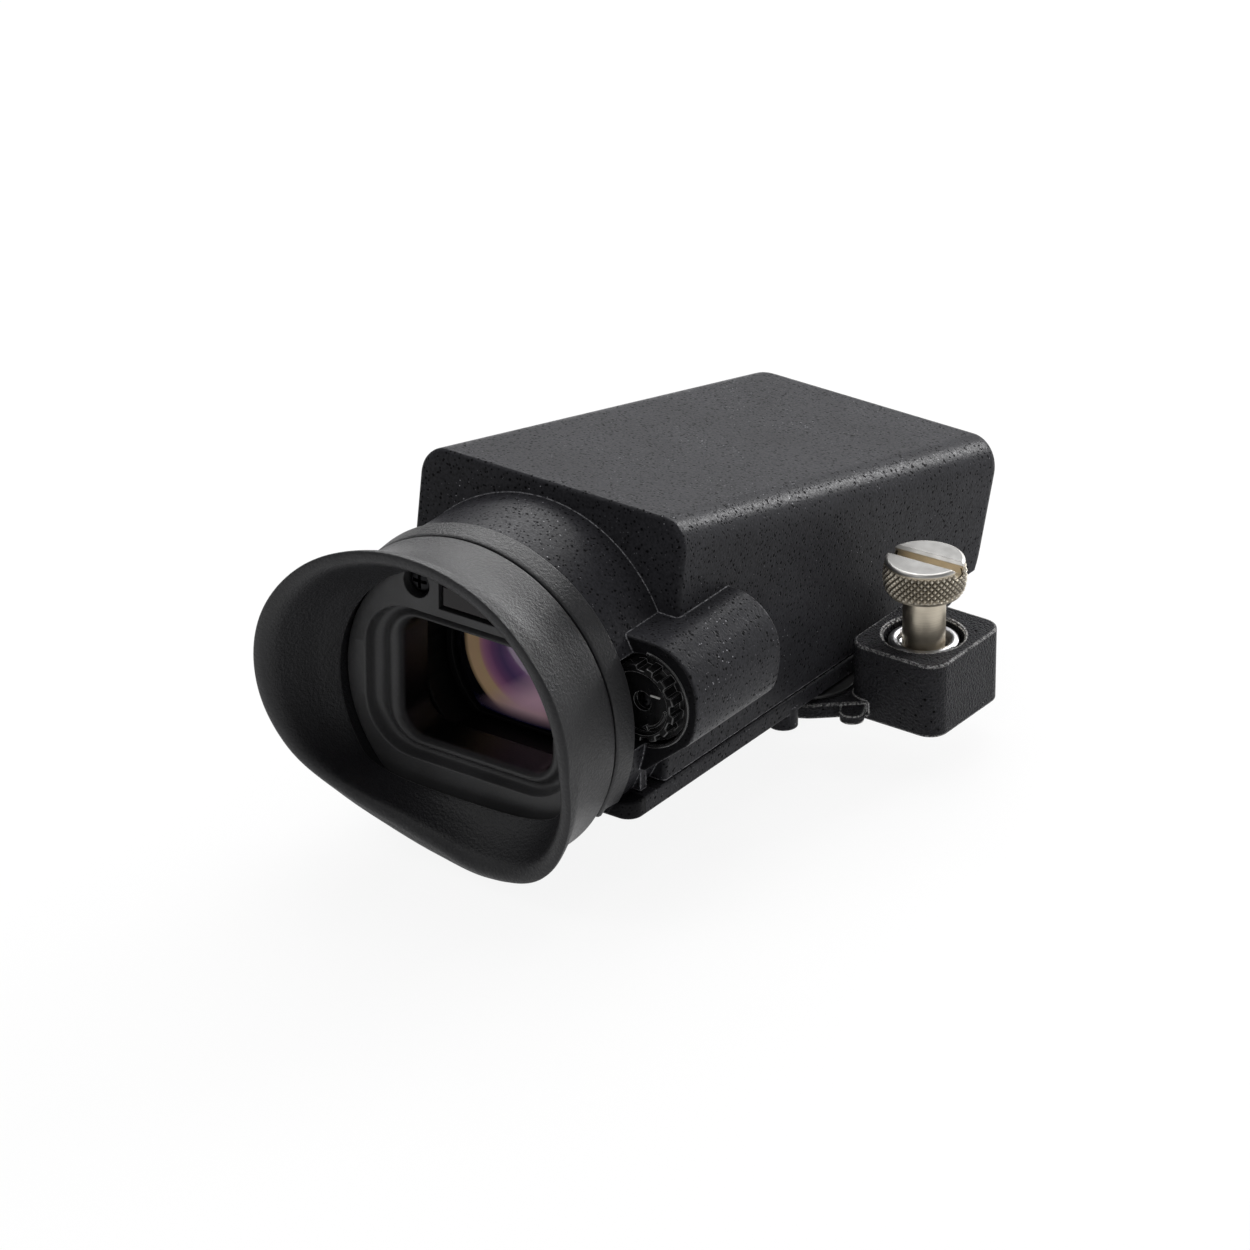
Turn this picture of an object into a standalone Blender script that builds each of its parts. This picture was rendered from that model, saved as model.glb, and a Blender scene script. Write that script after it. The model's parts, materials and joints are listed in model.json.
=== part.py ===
"""Electronic viewfinder: a wedge housing with a turning rubber eyecup at its rear, a dioptre dial in a
pod on its right side, and a swivelling mount block with a captive thumbscrew under it.

Lengths are metres. Every piece is placed about the optical axis, which runs along Y with the eye on
the -Y side, +X to the right and +Z up. Its zero is the groove between the eyecup and the collar.
"""

import math

import bmesh
import bpy
from mathutils import Vector

# Shared clearances and counts
GAP = 0.0003
OVERRUN = 0.0010
WELD = 0.00001
FINE_SIDES = 56
ROUND_SIDES = 30
SMALL_SIDES = 12
ARC_STEPS = 4

# Housing: a wedge whose top falls towards the nose
HOUSING_RIGHT = 0.0244
HOUSING_LEFT = 0.0224
LEFT_DRAFT = 0.0004
SEAM_UNDER_SHROUD = 0.00095
WALL = 0.0018
TOP_HEIGHT = 0.0274
REAR_FOOT = 0.0145
REAR_LEAN = 0.138
REAR_EDGE = 0.0006
NOSE_REACH = 0.1033
NOSE_HEIGHT = 0.0067
NOSE_LEAN = 0.325
NOSE_CORNER = 0.0030
NOSE_BROW = 0.0014
NOSE_CHIN = 0.0034
LONG_EDGE_REAR = 0.0045
LONG_EDGE_NOSE = 0.0048
RIB_INSET = 0.0014
RIB_WIDTH = 0.0021
RIB_START = 0.0086
RIB_THICKNESS = 0.0014
RIB_HEIGHT = 0.0045

# Round tube between the wedge and the collar
TUBE_STEP = 0.0003
TUBE_WALL = 0.0018
TUBE_END = 0.0200
SHOULDER_LENGTH = 0.0070
SHOULDER_DROP = 0.0042
BORE_END = 0.0195

# Pod on the right wall that shelters the dial and its cam
POD_MOUTH = 0.0080
POD_STRAIGHT_END = 0.0288
POD_END_EDGE = 0.0006
POD_TAPER = 0.0068
POD_ROOF = 0.0022
POD_BOTTOM = 0.0078
POD_WALL = 0.0018
POD_EDGE_RADIUS = 0.0080
POD_SHRINK_DROP = 0.0030
POD_HIP_INSET = 0.0018
POD_HIP_DROP = 0.0018
POD_ROOT = 0.0180
# Places along the pod's closed end, as shares of its taper, with shares of the full section
POD_END_SHARES = ((0.3, 0.78), (0.6, 0.52), (0.85, 0.28), (1, 0.1))
POD_BORE = 0.0071
POD_BORE_END = 0.0280

# Collar and the spigot that the eyecup turns on
SEAT_RADIUS = 0.0250
COLLAR_FLARE = 0.0004
COLLAR_LENGTH = 0.0041
SPIGOT_STEP = 0.0024
SPIGOT_WALL = 0.0008
SPIGOT_LENGTH = 0.0033

# Rubber eyecup, longer on the temple side
CUP_DEPTH = 0.0145
CUP_SLEEVE = 0.0030
CUP_RING_WALL = 0.0007
CUP_LIP = 0.0024
CUP_INNER = 0.0219
CUP_FLAT = 0.0150
CUP_SIDES = 48
# Rim radius as shares of the seat radius, and rim depth as shares of the cup depth, every 22.5
# degrees from +X towards +Z
RIM_RADIUS_SHARES = (1.014, 1.008, 1.018, 1.040, 1.072, 1.124, 1.178, 1.190,
                     1.148, 1.070, 0.914, 0.822, 0.842, 0.962, 1.090, 1.070)
RIM_DEPTH_SHARES = (0.814, 0.828, 0.828, 0.828, 0.841, 0.876, 0.945, 1.000,
                    0.966, 0.841, 0.724, 0.669, 0.655, 0.683, 0.731, 0.772)

# Eyepiece frame: a round plate with a funnel down to the window
PLATE_FACE = 0.0012
PLATE_THICKNESS = 0.0015
RECESS_BESIDE = 0.0034
RECESS_ABOVE = 0.00955
RECESS_CORNER = 0.0080
FUNNEL_SIDE = 0.0049
FUNNEL_RISE = 0.0023
WINDOW_CORNER = 0.0040
WINDOW_DEPTH = 0.0030
SHROUD_WALL = 0.0011
SHROUD_END = 0.0073
SENSOR_WIDTH = 0.0100
SENSOR_HEIGHT = 0.0041
SENSOR_INSET = 0.0040
SENSOR_BOARD_THICKNESS = 0.0008
FRAME_SCREW_X = 0.0089
FRAME_SCREW_INSET = 0.0051
FRAME_SCREW_HEAD = 0.0020
FRAME_SCREW_SHANK = 0.0009
FRAME_SCREW_LENGTH = 0.0050
FRAME_BOSS_RADIUS = 0.0028
FRAME_BOSS_END = 0.0040
FRAME_POCKET_DEPTH = 0.0020

# Magnifier: three lenses in a carriage that slides in a barrel, cut flat above and below
CARRIAGE_WALL = 0.0010
CARRIAGE_FLAT_WALL = 0.0005
CARRIAGE_START = 0.0128
CARRIAGE_END = 0.0232
BARREL_INSET = 0.0091
BARREL_ABOVE_SEAM = 0.0001
BARREL_WALL = 0.0013
BARREL_FLAT_WALL = 0.0009
BARREL_END = 0.0260
FRONT_LENS_EDGE = 0.0136
FRONT_LENS_THICKNESS = 0.0018
FRONT_LENS_BULGE = 0.0019
LENS_SPACING = 0.0029
REAR_LENS_THICKNESS = 0.0014
MIDDLE_LENS_HOLLOW = 0.0005
RETAINER_THICKNESS = 0.0008
RETAINER_WIDTH = 0.0020

# Dioptre dial, shaft and cam, which move the carriage
DIAL_IN_TUBE = 0.0002
DIAL_Z = 0.0038
DIAL_FACE = 0.0072
DIAL_THICKNESS = 0.0030
DIAL_RADIUS = 0.0068
DIAL_TOOTH_DEPTH = 0.0006
DIAL_TEETH = 22
DIAL_DISH_RADIUS = 0.0052
DIAL_DISH_DEPTH = 0.0008
DIAL_HUB_RADIUS = 0.0024
DIAL_MARK_WIDTH = 0.0007
DIAL_SCREW_HEAD = 0.0012
DIAL_SCREW_SHANK = 0.0005
DIAL_SCREW_HEAD_THICKNESS = 0.0006
SHAFT_RADIUS = 0.0015
WELL_WALL = 0.0006
WELL_START = 0.0050
WELL_FLOOR = 0.0113
WELL_FLOOR_THICKNESS = 0.0010
CAM_RADIUS = 0.0042
CAM_GROOVE_DEPTH = 0.0016
CAM_GROOVE_HALF_WIDTH = 0.0009
CAM_LEAD = 0.0072
CAM_TRAVEL_DEGREES = 120
CAM_RUNOUT_DEGREES = 25
CAM_LENGTH = 0.0094
CAM_CENTRE = 0.0178
CAM_GROOVE_STEPS = 20
FOLLOWER_RADIUS = 0.0006
FOLLOWER_BOSS_RADIUS = 0.0018
FOLLOWER_BOSS_LENGTH = 0.0024
BEARING_LENGTH = 0.0020

# Display and electronics
TUNNEL_END = 0.0460
TUNNEL_WALL = 0.0012
TUNNEL_MOUTH_INSET = 0.0002
TUNNEL_ABOVE_SEAM = 0.0004
TUNNEL_CORNER = 0.0020
DISPLAY_WIDTH = 0.0240
DISPLAY_ABOVE_SEAM = 0.0027
DISPLAY_THICKNESS = 0.0018
FLEX_WIDTH = 0.0100
FLEX_THICKNESS = 0.0003
FLEX_BEND = 0.0030
FLEX_TAIL = 0.0060
FLEX_RISE = 0.00375
BOARD_LEFT = 0.0155
BOARD_RIGHT = 0.0090
BOARD_START = 0.0520
BOARD_ABOVE_SEAM = 0.0045
BOARD_THICKNESS = 0.0012
POST_RADIUS = 0.0020
SOCKET_WIDTH = 0.0100
SOCKET_HEIGHT = 0.0040
SOCKET_LENGTH = 0.0100
SOCKET_NOSE_INSET = 0.0073
SOCKET_ON_BOARD = 0.0040
SOCKET_SLOT_WIDTH = 0.0080
SOCKET_SLOT_HEIGHT = 0.0022
SOCKET_SLOT_DEPTH = 0.0050

# Bottom cover
COVER_RIGHT = 0.0246
COVER_LEFT = 0.0223
COVER_NOSE_INSET = 0.0103
COVER_THICKNESS = 0.0029
COVER_REAR_CORNER = 0.0025
COVER_NOSE_CORNER = 0.0060
COVER_EDGE = 0.0004
# Screw rows as shares of the cover's length
COVER_SCREW_ROW_SHARES = (0.2186, 0.8528)
COVER_SCREW_INSET = 0.0036
COVER_SCREW_HEAD = 0.0020
COVER_SCREW_HEAD_HEIGHT = 0.0012
COVER_SCREW_SHANK = 0.0009
COVER_SCREW_SHORT = 0.0029
COVER_BOSS_RADIUS = 0.0025
COVER_BOSS_UNDER_BORE = 0.0024

# Swivel: the arm turns on a bolt through the cover
PIVOT_X = 0.0190
PIVOT_Y = 0.0580
BOLT_RADIUS = 0.0015
BOLT_HEAD_RADIUS = 0.0034
BOLT_HEAD_HEIGHT = 0.0014
PIVOT_BOSS_RADIUS = 0.0032
PIVOT_BOSS_HEIGHT = 0.0014
NUT_RADIUS = 0.0031
NUT_HEIGHT = 0.0024
NUT_SIDES = 6
WASHER_RADIUS = 0.0072
WASHER_THICKNESS = 0.0005
HUB_RADIUS = 0.0083
ARM_THICKNESS = 0.0024
STOP_BOSS_X = 0.0226
STOP_BOSS_Y = 0.0461
STOP_BOSS_RADIUS = 0.0022
STOP_BOSS_LENGTH = 0.0024
STOP_TAB_X = 0.0297
STOP_TAB_Y = 0.0536
STOP_TAB_RADIUS = 0.0018
STOP_TAB_THICKNESS = 0.0016

# Mount block at the end of the arm
BLOCK_LEFT = 0.0263
BLOCK_RIGHT = 0.0422
BLOCK_REAR = 0.0570
BLOCK_FRONT = 0.0752
BLOCK_TOP_DROP = 0.0073
BLOCK_FOOT = 0.00065
BLOCK_CORNER = 0.0030
BLOCK_EDGE = 0.0006

# Captive thumbscrew in the block
SCREW_X = 0.0342
SCREW_Y = 0.0657
SCREW_HEAD_RADIUS = 0.0063
SCREW_HEAD_TOP = 0.0053
SCREW_HEAD_HEIGHT = 0.0054
SCREW_HEAD_CHAMFER = 0.0006
SCREW_KNURL_DEPTH = 0.0003
SCREW_KNURLS = 26
SCREW_SLOT_WIDTH = 0.0019
SCREW_SLOT_DEPTH = 0.0018
SCREW_SLOT_TURN_DEGREES = 8
SCREW_RADIUS = 0.0032
SCREW_TIP_INSET = 0.00055
SCREW_TIP_CHAMFER = 0.0008
BUSHING_RADIUS = 0.00515
BUSHING_TOP_DROP = 0.0089
BUSHING_THICKNESS = 0.0010
BUSHING_BEVEL = 0.0003
COUNTERBORE_RADIUS = 0.0060
CLIP_RADIUS = 0.0043
CLIP_THICKNESS = 0.0006

# Heights and places that follow from the sizes above
NOSE_FOOT = NOSE_REACH - NOSE_LEAN * NOSE_HEIGHT
TOP_START = REAR_FOOT + REAR_LEAN * TOP_HEIGHT
TOP_FALL = (TOP_HEIGHT - NOSE_HEIGHT) / (NOSE_REACH - TOP_START)
COLLAR_END = GAP + COLLAR_LENGTH
TUBE_START = COLLAR_END + GAP
PLATE_BACK = PLATE_THICKNESS - PLATE_FACE
WINDOW_PLANE = WINDOW_DEPTH - PLATE_FACE
TUBE_RADIUS = SEAT_RADIUS - TUBE_STEP
SHOULDER_RADIUS = TUBE_RADIUS - SHOULDER_DROP
RIB_OUT = TUBE_RADIUS - RIB_INSET
RIB_IN = RIB_OUT - RIB_WIDTH
SPIGOT_RADIUS = SEAT_RADIUS - SPIGOT_STEP
SPIGOT_BORE = SPIGOT_RADIUS - SPIGOT_WALL
PLATE_RADIUS = SPIGOT_BORE - GAP
DIAL_X = TUBE_RADIUS - DIAL_IN_TUBE
POD_RIGHT = DIAL_X + POD_BORE + POD_WALL
POD_TOP = DIAL_Z + POD_BORE + POD_ROOF
POD_HIP_RIGHT = POD_RIGHT - POD_HIP_INSET
RECESS_WIDTH = 2 * (PLATE_RADIUS - RECESS_BESIDE)
RECESS_HEIGHT = 2 * (PLATE_RADIUS - RECESS_ABOVE)
WINDOW_WIDTH = RECESS_WIDTH - 2 * FUNNEL_SIDE
WINDOW_HEIGHT = RECESS_HEIGHT - 2 * FUNNEL_RISE
SEAM_DROP = WINDOW_HEIGHT / 2 + SHROUD_WALL + SEAM_UNDER_SHROUD
SENSOR_HIGH = PLATE_RADIUS - SENSOR_INSET
SENSOR_LOW = SENSOR_HIGH - SENSOR_HEIGHT
FRAME_SCREW_Z = PLATE_RADIUS - FRAME_SCREW_INSET
RING_INNER = SPIGOT_RADIUS + GAP
RING_OUTER = RING_INNER + CUP_RING_WALL
SLEEVE_INNER = RING_OUTER + GAP
CUP_FLOOR = SPIGOT_LENGTH
BARREL_START = SHROUD_END + GAP
BARREL_RADIUS = TUBE_RADIUS - BARREL_INSET
BARREL_FLAT = SEAM_DROP - BARREL_ABOVE_SEAM
BARREL_BORE = BARREL_RADIUS - BARREL_WALL
BARREL_BORE_FLAT = BARREL_FLAT - BARREL_FLAT_WALL
CARRIAGE_RADIUS = BARREL_BORE - GAP
CARRIAGE_FLAT = BARREL_BORE_FLAT - GAP
LENS_RADIUS = CARRIAGE_RADIUS - CARRIAGE_WALL - GAP
LENS_FLAT = CARRIAGE_FLAT - CARRIAGE_FLAT_WALL - GAP
CAM_SLOPE = CAM_LEAD / math.tau
CARRIAGE_TRAVEL = CAM_SLOPE * math.radians(CAM_TRAVEL_DEGREES)
TUNNEL_START = BARREL_END + GAP
TUNNEL_MOUTH_WIDTH = 2 * (BARREL_RADIUS - TUNNEL_MOUTH_INSET)
TUNNEL_MOUTH_HEIGHT = 2 * (SEAM_DROP - TUNNEL_ABOVE_SEAM)
DISPLAY_HEIGHT = 2 * (SEAM_DROP - DISPLAY_ABOVE_SEAM)
BOARD_TOP_DROP = SEAM_DROP - BOARD_ABOVE_SEAM
DISPLAY_START = TUNNEL_END + GAP
DISPLAY_BACK = DISPLAY_START + DISPLAY_THICKNESS
COVER_TOP_DROP = SEAM_DROP + GAP
COVER_BOTTOM_DROP = COVER_TOP_DROP + COVER_THICKNESS
COVER_START = TUBE_START
COVER_BOSS_HEIGHT = SEAM_DROP + DIAL_Z - POD_BORE - COVER_BOSS_UNDER_BORE
COVER_SCREW_LENGTH = COVER_THICKNESS + COVER_BOSS_HEIGHT - COVER_SCREW_SHORT
COVER_END = NOSE_REACH - COVER_NOSE_INSET
SOCKET_END = NOSE_REACH - SOCKET_NOSE_INSET
SOCKET_START = SOCKET_END - SOCKET_LENGTH
BOARD_END = SOCKET_START + SOCKET_ON_BOARD
WASHER_TOP_DROP = COVER_BOTTOM_DROP + GAP
HUB_TOP_DROP = WASHER_TOP_DROP + WASHER_THICKNESS + GAP
HUB_BOTTOM_DROP = HUB_TOP_DROP + ARM_THICKNESS
BLOCK_BOTTOM_DROP = HUB_BOTTOM_DROP + BLOCK_FOOT
SCREW_TIP_DROP = BLOCK_BOTTOM_DROP - SCREW_TIP_INSET
BUSHING_BOTTOM_DROP = BUSHING_TOP_DROP + BUSHING_THICKNESS
LEDGE_DROP = BUSHING_BOTTOM_DROP + GAP
CLIP_TOP_DROP = LEDGE_DROP
CLIP_BOTTOM_DROP = CLIP_TOP_DROP + CLIP_THICKNESS
RECESS_RADIUS = CLIP_RADIUS + GAP
SCREW_HEAD_BOTTOM = SCREW_HEAD_TOP - SCREW_HEAD_HEIGHT
CUP_LEFT_REACH = SEAT_RADIUS * RIM_RADIUS_SHARES[8]

# The whole viewfinder stands on the ground plane, centred over it
CENTRE_X = (BLOCK_RIGHT - CUP_LEFT_REACH) / 2
CENTRE_Y = (NOSE_REACH - CUP_DEPTH) / 2


def clear_scene():
    for obj in list(bpy.data.objects):
        bpy.data.objects.remove(obj, do_unlink=True)


def new_collection(name):
    collection = bpy.data.collections.new(name)
    bpy.context.scene.collection.children.link(collection)
    return collection


def finish(name, colour, roughness, metallic=0.0):
    """A Principled material."""
    material = bpy.data.materials.new(name)
    material.use_nodes = True
    shader = material.node_tree.nodes["Principled BSDF"]
    shader.inputs["Base Color"].default_value = (*colour, 1.0)
    shader.inputs["Roughness"].default_value = roughness
    shader.inputs["Metallic"].default_value = metallic
    material.diffuse_color = (*colour, 1.0)
    return material


clear_scene()
PARTS = new_collection("electronic_viewfinder")
CUTTERS = new_collection("cutters")
CARRIERS = {}


def carrier(name, at, parent=None):
    """An empty on a joint's axis that carries the pieces of one moving body."""
    empty = bpy.data.objects.new(name, None)
    empty.empty_display_size = SEAT_RADIUS
    PARTS.objects.link(empty)
    place = Vector(at)
    if parent:
        empty.parent = CARRIERS[parent][0]
        empty.location = place - CARRIERS[parent][1]
    CARRIERS[name] = (empty, place)
    return empty


TURNS = {
    "X": (0, math.pi / 2, 0),
    "Y": (-math.pi / 2, 0, 0),
    "Z": (0, 0, 0),
}
SLAB_TURNS = {
    "X": (math.pi / 2, 0, math.pi / 2),
    "Y": (math.pi / 2, 0, 0),
    "Z": (0, 0, 0),
}


def put(name, mesh, on, at=(0, 0, 0), turn=(0, 0, 0), look=None):
    """An object on a carrier, or a hidden cutter when it has no look."""
    obj = bpy.data.objects.new(name, mesh)
    if look is None:
        CUTTERS.objects.link(obj)
        obj.hide_render = True
        obj.display_type = "WIRE"
    else:
        PARTS.objects.link(obj)
        mesh.materials.append(look)
    empty, place = CARRIERS[on]
    obj.parent = empty
    obj.location = Vector(at) - place
    obj.rotation_euler = turn
    return obj


def mesh_from(name, bm):
    bmesh.ops.recalc_face_normals(bm, faces=bm.faces)
    mesh = bpy.data.meshes.new(name)
    bm.to_mesh(mesh)
    bm.free()
    return mesh


def smooth(mesh):
    mesh.shade_smooth()
    mesh.set_sharp_from_angle(angle=math.radians(35))


def block(name, low, high, on, look=None):
    """A box between two corners."""
    bm = bmesh.new()
    bmesh.ops.create_cube(bm, size=1)
    low, high = Vector(low), Vector(high)
    bmesh.ops.scale(bm, vec=high - low, verts=bm.verts)
    return put(name, mesh_from(name, bm), on, (low + high) / 2, look=look)


def rod(name, radius, low, high, on, axis, x=0, y=0, z=0, sides=SMALL_SIDES, end_radius=None, look=None):
    """A cylinder or a cone frustum along one axis, from low to high on it."""
    bm = bmesh.new()
    bmesh.ops.create_cone(
        bm, cap_ends=True, segments=sides, radius1=radius,
        radius2=radius if end_radius is None else end_radius, depth=high - low,
    )
    mesh = mesh_from(name, bm)
    smooth(mesh)
    middle = (low + high) / 2
    at = {"X": (middle, y, z), "Y": (x, middle, z), "Z": (x, y, middle)}[axis]
    return put(name, mesh, on, at, TURNS[axis], look)


def turned(name, profile, on, axis="Y", at=(0, 0, 0), steps=ROUND_SIDES, ring=True, look=None):
    """A profile of (radius, place along the axis) turned by a Screw. A ring's profile is a closed
    loop, and any other starts and ends on the axis. Each runs down its outer side."""
    mesh = bpy.data.meshes.new(name)
    count = len(profile)
    edges = [(i, i + 1) for i in range(count - 1)] + ([(count - 1, 0)] if ring else [])
    mesh.from_pydata([(radius, 0, along) for radius, along in profile], edges, [])
    obj = put(name, mesh, on, at, TURNS[axis], look)
    screw = obj.modifiers.new("turn", "SCREW")
    screw.axis = "Z"
    screw.angle = math.tau
    screw.steps = screw.render_steps = steps
    screw.use_merge_vertices = True
    screw.merge_threshold = WELD
    screw.use_smooth_shade = True
    return obj


def slab(name, outline, low, high, on, axis="Z", at=(0, 0, 0), look=None):
    """A flat outline extruded along an axis, from low to high on it."""
    curve = bpy.data.curves.new(name, "CURVE")
    curve.dimensions = "2D"
    curve.fill_mode = "BOTH"
    curve.extrude = (high - low) / 2
    spline = curve.splines.new("POLY")
    spline.points.add(len(outline) - 1)
    for point, (u, v) in zip(spline.points, outline):
        point.co = (u, v, 0, 1)
    spline.use_cyclic_u = True
    drawn = bpy.data.objects.new(name + "_outline", curve)
    bpy.context.scene.collection.objects.link(drawn)
    graph = bpy.context.evaluated_depsgraph_get()
    mesh = bpy.data.meshes.new_from_object(drawn.evaluated_get(graph))
    bpy.data.objects.remove(drawn)
    bpy.data.curves.remove(curve)
    bm = bmesh.new()
    bm.from_mesh(mesh)
    bpy.data.meshes.remove(mesh)
    bmesh.ops.remove_doubles(bm, verts=bm.verts, dist=WELD)
    bmesh.ops.dissolve_limit(bm, angle_limit=math.radians(1), verts=bm.verts, edges=bm.edges)
    mesh = mesh_from(name, bm)
    middle = (low + high) / 2
    along = Vector({"X": (middle, 0, 0), "Y": (0, middle, 0), "Z": (0, 0, middle)}[axis])
    return put(name, mesh, on, Vector(at) + along, SLAB_TURNS[axis], look)


def loft(name, rings, on, look=None, loop=False):
    """A skin through rings of equal point counts, capped at both ends or joined into a loop."""
    bm = bmesh.new()
    rows = [[bm.verts.new(point) for point in ring] for ring in rings]
    count = len(rows[0])
    pairs = list(zip(rows, rows[1:])) + ([(rows[-1], rows[0])] if loop else [])
    for near, far in pairs:
        for i in range(count):
            j = (i + 1) % count
            bm.faces.new((near[i], near[j], far[j], far[i]))
    if not loop:
        bm.faces.new(rows[0])
        bm.faces.new(rows[-1])
    mesh = mesh_from(name, bm)
    smooth(mesh)
    return put(name, mesh, on, look=look)


def change(obj, other, operation="DIFFERENCE", solver="EXACT"):
    boolean = obj.modifiers.new(operation.lower(), "BOOLEAN")
    boolean.operation = operation
    boolean.solver = solver
    boolean.object = other
    return obj


def change_shell(obj, other, operation="DIFFERENCE"):
    """A change to a thin shell with wide ring-shaped faces, which the exact solver leaves open."""
    return change(obj, other, operation, "MANIFOLD")


def soften(obj, width, segments=2, degrees=50):
    bevel = obj.modifiers.new("soften", "BEVEL")
    bevel.width = width
    bevel.segments = segments
    bevel.limit_method = "ANGLE"
    bevel.angle_limit = math.radians(degrees)
    return obj


def arc(centre_u, centre_v, radius, first, last, steps=ARC_STEPS):
    """Points on an arc, in degrees."""
    points = []
    for i in range(steps + 1):
        angle = math.radians(first + (last - first) * i / steps)
        points.append((centre_u + radius * math.cos(angle), centre_v + radius * math.sin(angle)))
    return points


def rounded_box(left, right, low, high, radii, steps=ARC_STEPS):
    """A box outline with its own radius at each corner, from low right round to low left."""
    points = []
    corners = ((right, low, -1, 1, -90), (right, high, -1, -1, 0), (left, high, 1, -1, 90), (left, low, 1, 1, 180))
    for (u, v, inward_u, inward_v, start), radius in zip(corners, radii):
        points += arc(u + inward_u * radius, v + inward_v * radius, radius, start, start + 90, steps)
    return points


def centred_box(width, height, radius, steps=ARC_STEPS):
    return rounded_box(-width / 2, width / 2, -height / 2, height / 2, (radius,) * 4, steps)


def hull(points):
    """The convex outline round a set of points."""
    points = sorted(set(points))

    def half(row):
        line = []
        for point in row:
            while len(line) > 1:
                (ax, ay), (bx, by) = line[-2], line[-1]
                if (bx - ax) * (point[1] - ay) - (by - ay) * (point[0] - ax) > 0:
                    break
                line.pop()
            line.append(point)
        return line[:-1]

    return half(points) + half(points[::-1])


def toothed(radius, depth, teeth, land):
    """A round outline with square teeth. The land is the share of each pitch that a tooth takes."""
    points = []
    for tooth in range(teeth):
        start = math.tau * tooth / teeth
        for share, reach in ((0, radius), (land, radius), (land, radius - depth), (1, radius - depth)):
            angle = start + math.tau * share / teeth
            points.append((reach * math.cos(angle), reach * math.sin(angle)))
    return points


def cyclic(shares, turn):
    """The value of a closed table of shares at a turn from 0 to 1, as a smooth curve through it."""
    place = (turn % 1) * len(shares)
    index = int(place)
    part = place - index
    before, here, after, beyond = (shares[(index + k) % len(shares)] for k in (-1, 0, 1, 2))
    slope = (after - before) / 2
    next_slope = (beyond - here) / 2
    square, cube = part ** 2, part ** 3
    return (
        (2 * cube - 3 * square + 1) * here + (cube - 2 * square + part) * slope
        + (3 * square - 2 * cube) * after + (cube - square) * next_slope
    )


PAINT = finish("charcoal_paint", (0.085, 0.088, 0.095), 0.55, 0.1)
BLACK_PLASTIC = finish("black_plastic", (0.018, 0.018, 0.019), 0.5)
GLOSS_BLACK = finish("gloss_black", (0.012, 0.012, 0.013), 0.2)
RUBBER = finish("rubber", (0.022, 0.022, 0.023), 0.8)
GLASS = finish("coated_glass", (0.35, 0.22, 0.42), 0.05)
DARK_WINDOW = finish("dark_window", (0.03, 0.01, 0.015), 0.1)
NICKEL = finish("satin_nickel", (0.62, 0.6, 0.57), 0.35, 1.0)
STEEL = finish("bright_steel", (0.7, 0.7, 0.72), 0.25, 1.0)
BLACK_STEEL = finish("black_steel", (0.03, 0.03, 0.032), 0.35, 1.0)
BLOCK_PAINT = finish("block_paint", (0.03, 0.03, 0.032), 0.5, 0.3)
BOARD_GREEN = finish("circuit_board", (0.02, 0.12, 0.05), 0.5)
FLEX_AMBER = finish("flex_amber", (0.45, 0.22, 0.05), 0.45)
PANEL_DARK = finish("display_dark", (0.01, 0.012, 0.02), 0.1)
BRASS = finish("brass", (0.62, 0.45, 0.18), 0.3, 1.0)
NYLON = finish("white_nylon", (0.75, 0.74, 0.7), 0.5)

ROOT = carrier("viewfinder", (0, 0, 0))
ROOT.location = (-CENTRE_X, -CENTRE_Y, SEAT_RADIUS)
carrier("eyecup_axis", (0, 0, 0), "viewfinder")
carrier("dial_axis", (DIAL_X, DIAL_FACE, DIAL_Z), "viewfinder")
carrier("carriage_slide", (0, CAM_CENTRE, 0), "viewfinder")
carrier("arm_axis", (PIVOT_X, PIVOT_Y, -HUB_TOP_DROP), "viewfinder")
carrier("screw_slide", (SCREW_X, SCREW_Y, -CLIP_TOP_DROP), "arm_axis")
carrier("screw_axis", (SCREW_X, SCREW_Y, SCREW_HEAD_TOP), "screw_slide")


def wedge_ring(foot, lean, radius, side, top, floor):
    """A leaning section of the wedge: side and top draw it in, and floor is its lowest height."""
    height = (TOP_HEIGHT - TOP_FALL * (foot - TOP_START)) / (1 + TOP_FALL * lean) - top
    right = HOUSING_RIGHT - side
    left = HOUSING_LEFT - LEFT_DRAFT - side
    points = [(-HOUSING_LEFT + side, floor), (right, floor)]
    points += arc(right - radius, height - radius, radius, 0, 90)
    points += arc(-left + radius, height - radius, radius, 90, 180)
    return [(x, foot + lean * z, z) for x, z in points]


def wedge(name, inset, floor, chin, look=None):
    """The housing's wedge, or its hollow when inset by the wall."""
    def section(foot, drawn_in, top, low):
        share = (foot - REAR_FOOT) / (NOSE_FOOT - REAR_FOOT)
        lean = REAR_LEAN + (NOSE_LEAN - REAR_LEAN) * share
        radius = LONG_EDGE_REAR + (LONG_EDGE_NOSE - LONG_EDGE_REAR) * share - inset
        return wedge_ring(foot, lean, radius, inset + drawn_in, inset + top, low)

    corner = NOSE_CORNER - inset
    rear = REAR_FOOT + inset
    rings = [
        section(rear, REAR_EDGE, REAR_EDGE, floor),
        section(rear + REAR_EDGE, 0, 0, floor),
    ]
    for step in range(ARC_STEPS + 1):
        angle = math.pi / 2 * step / ARC_STEPS
        foot = NOSE_FOOT - inset - corner * (1 - math.sin(angle))
        drawn = 1 - math.cos(angle)
        rings.append(section(foot, corner * drawn, NOSE_BROW * drawn, floor + chin * drawn))
    return loft(name, rings, "viewfinder", look)


def curve_point(first, bend, last, share):
    """A point on the curve that leaves the first point towards the bend and ends at the last."""
    before, beyond = (1 - share) ** 2, share ** 2
    between = 1 - before - beyond
    return tuple(before * a + between * b + beyond * c for a, b, c in zip(first, bend, last))


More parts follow.
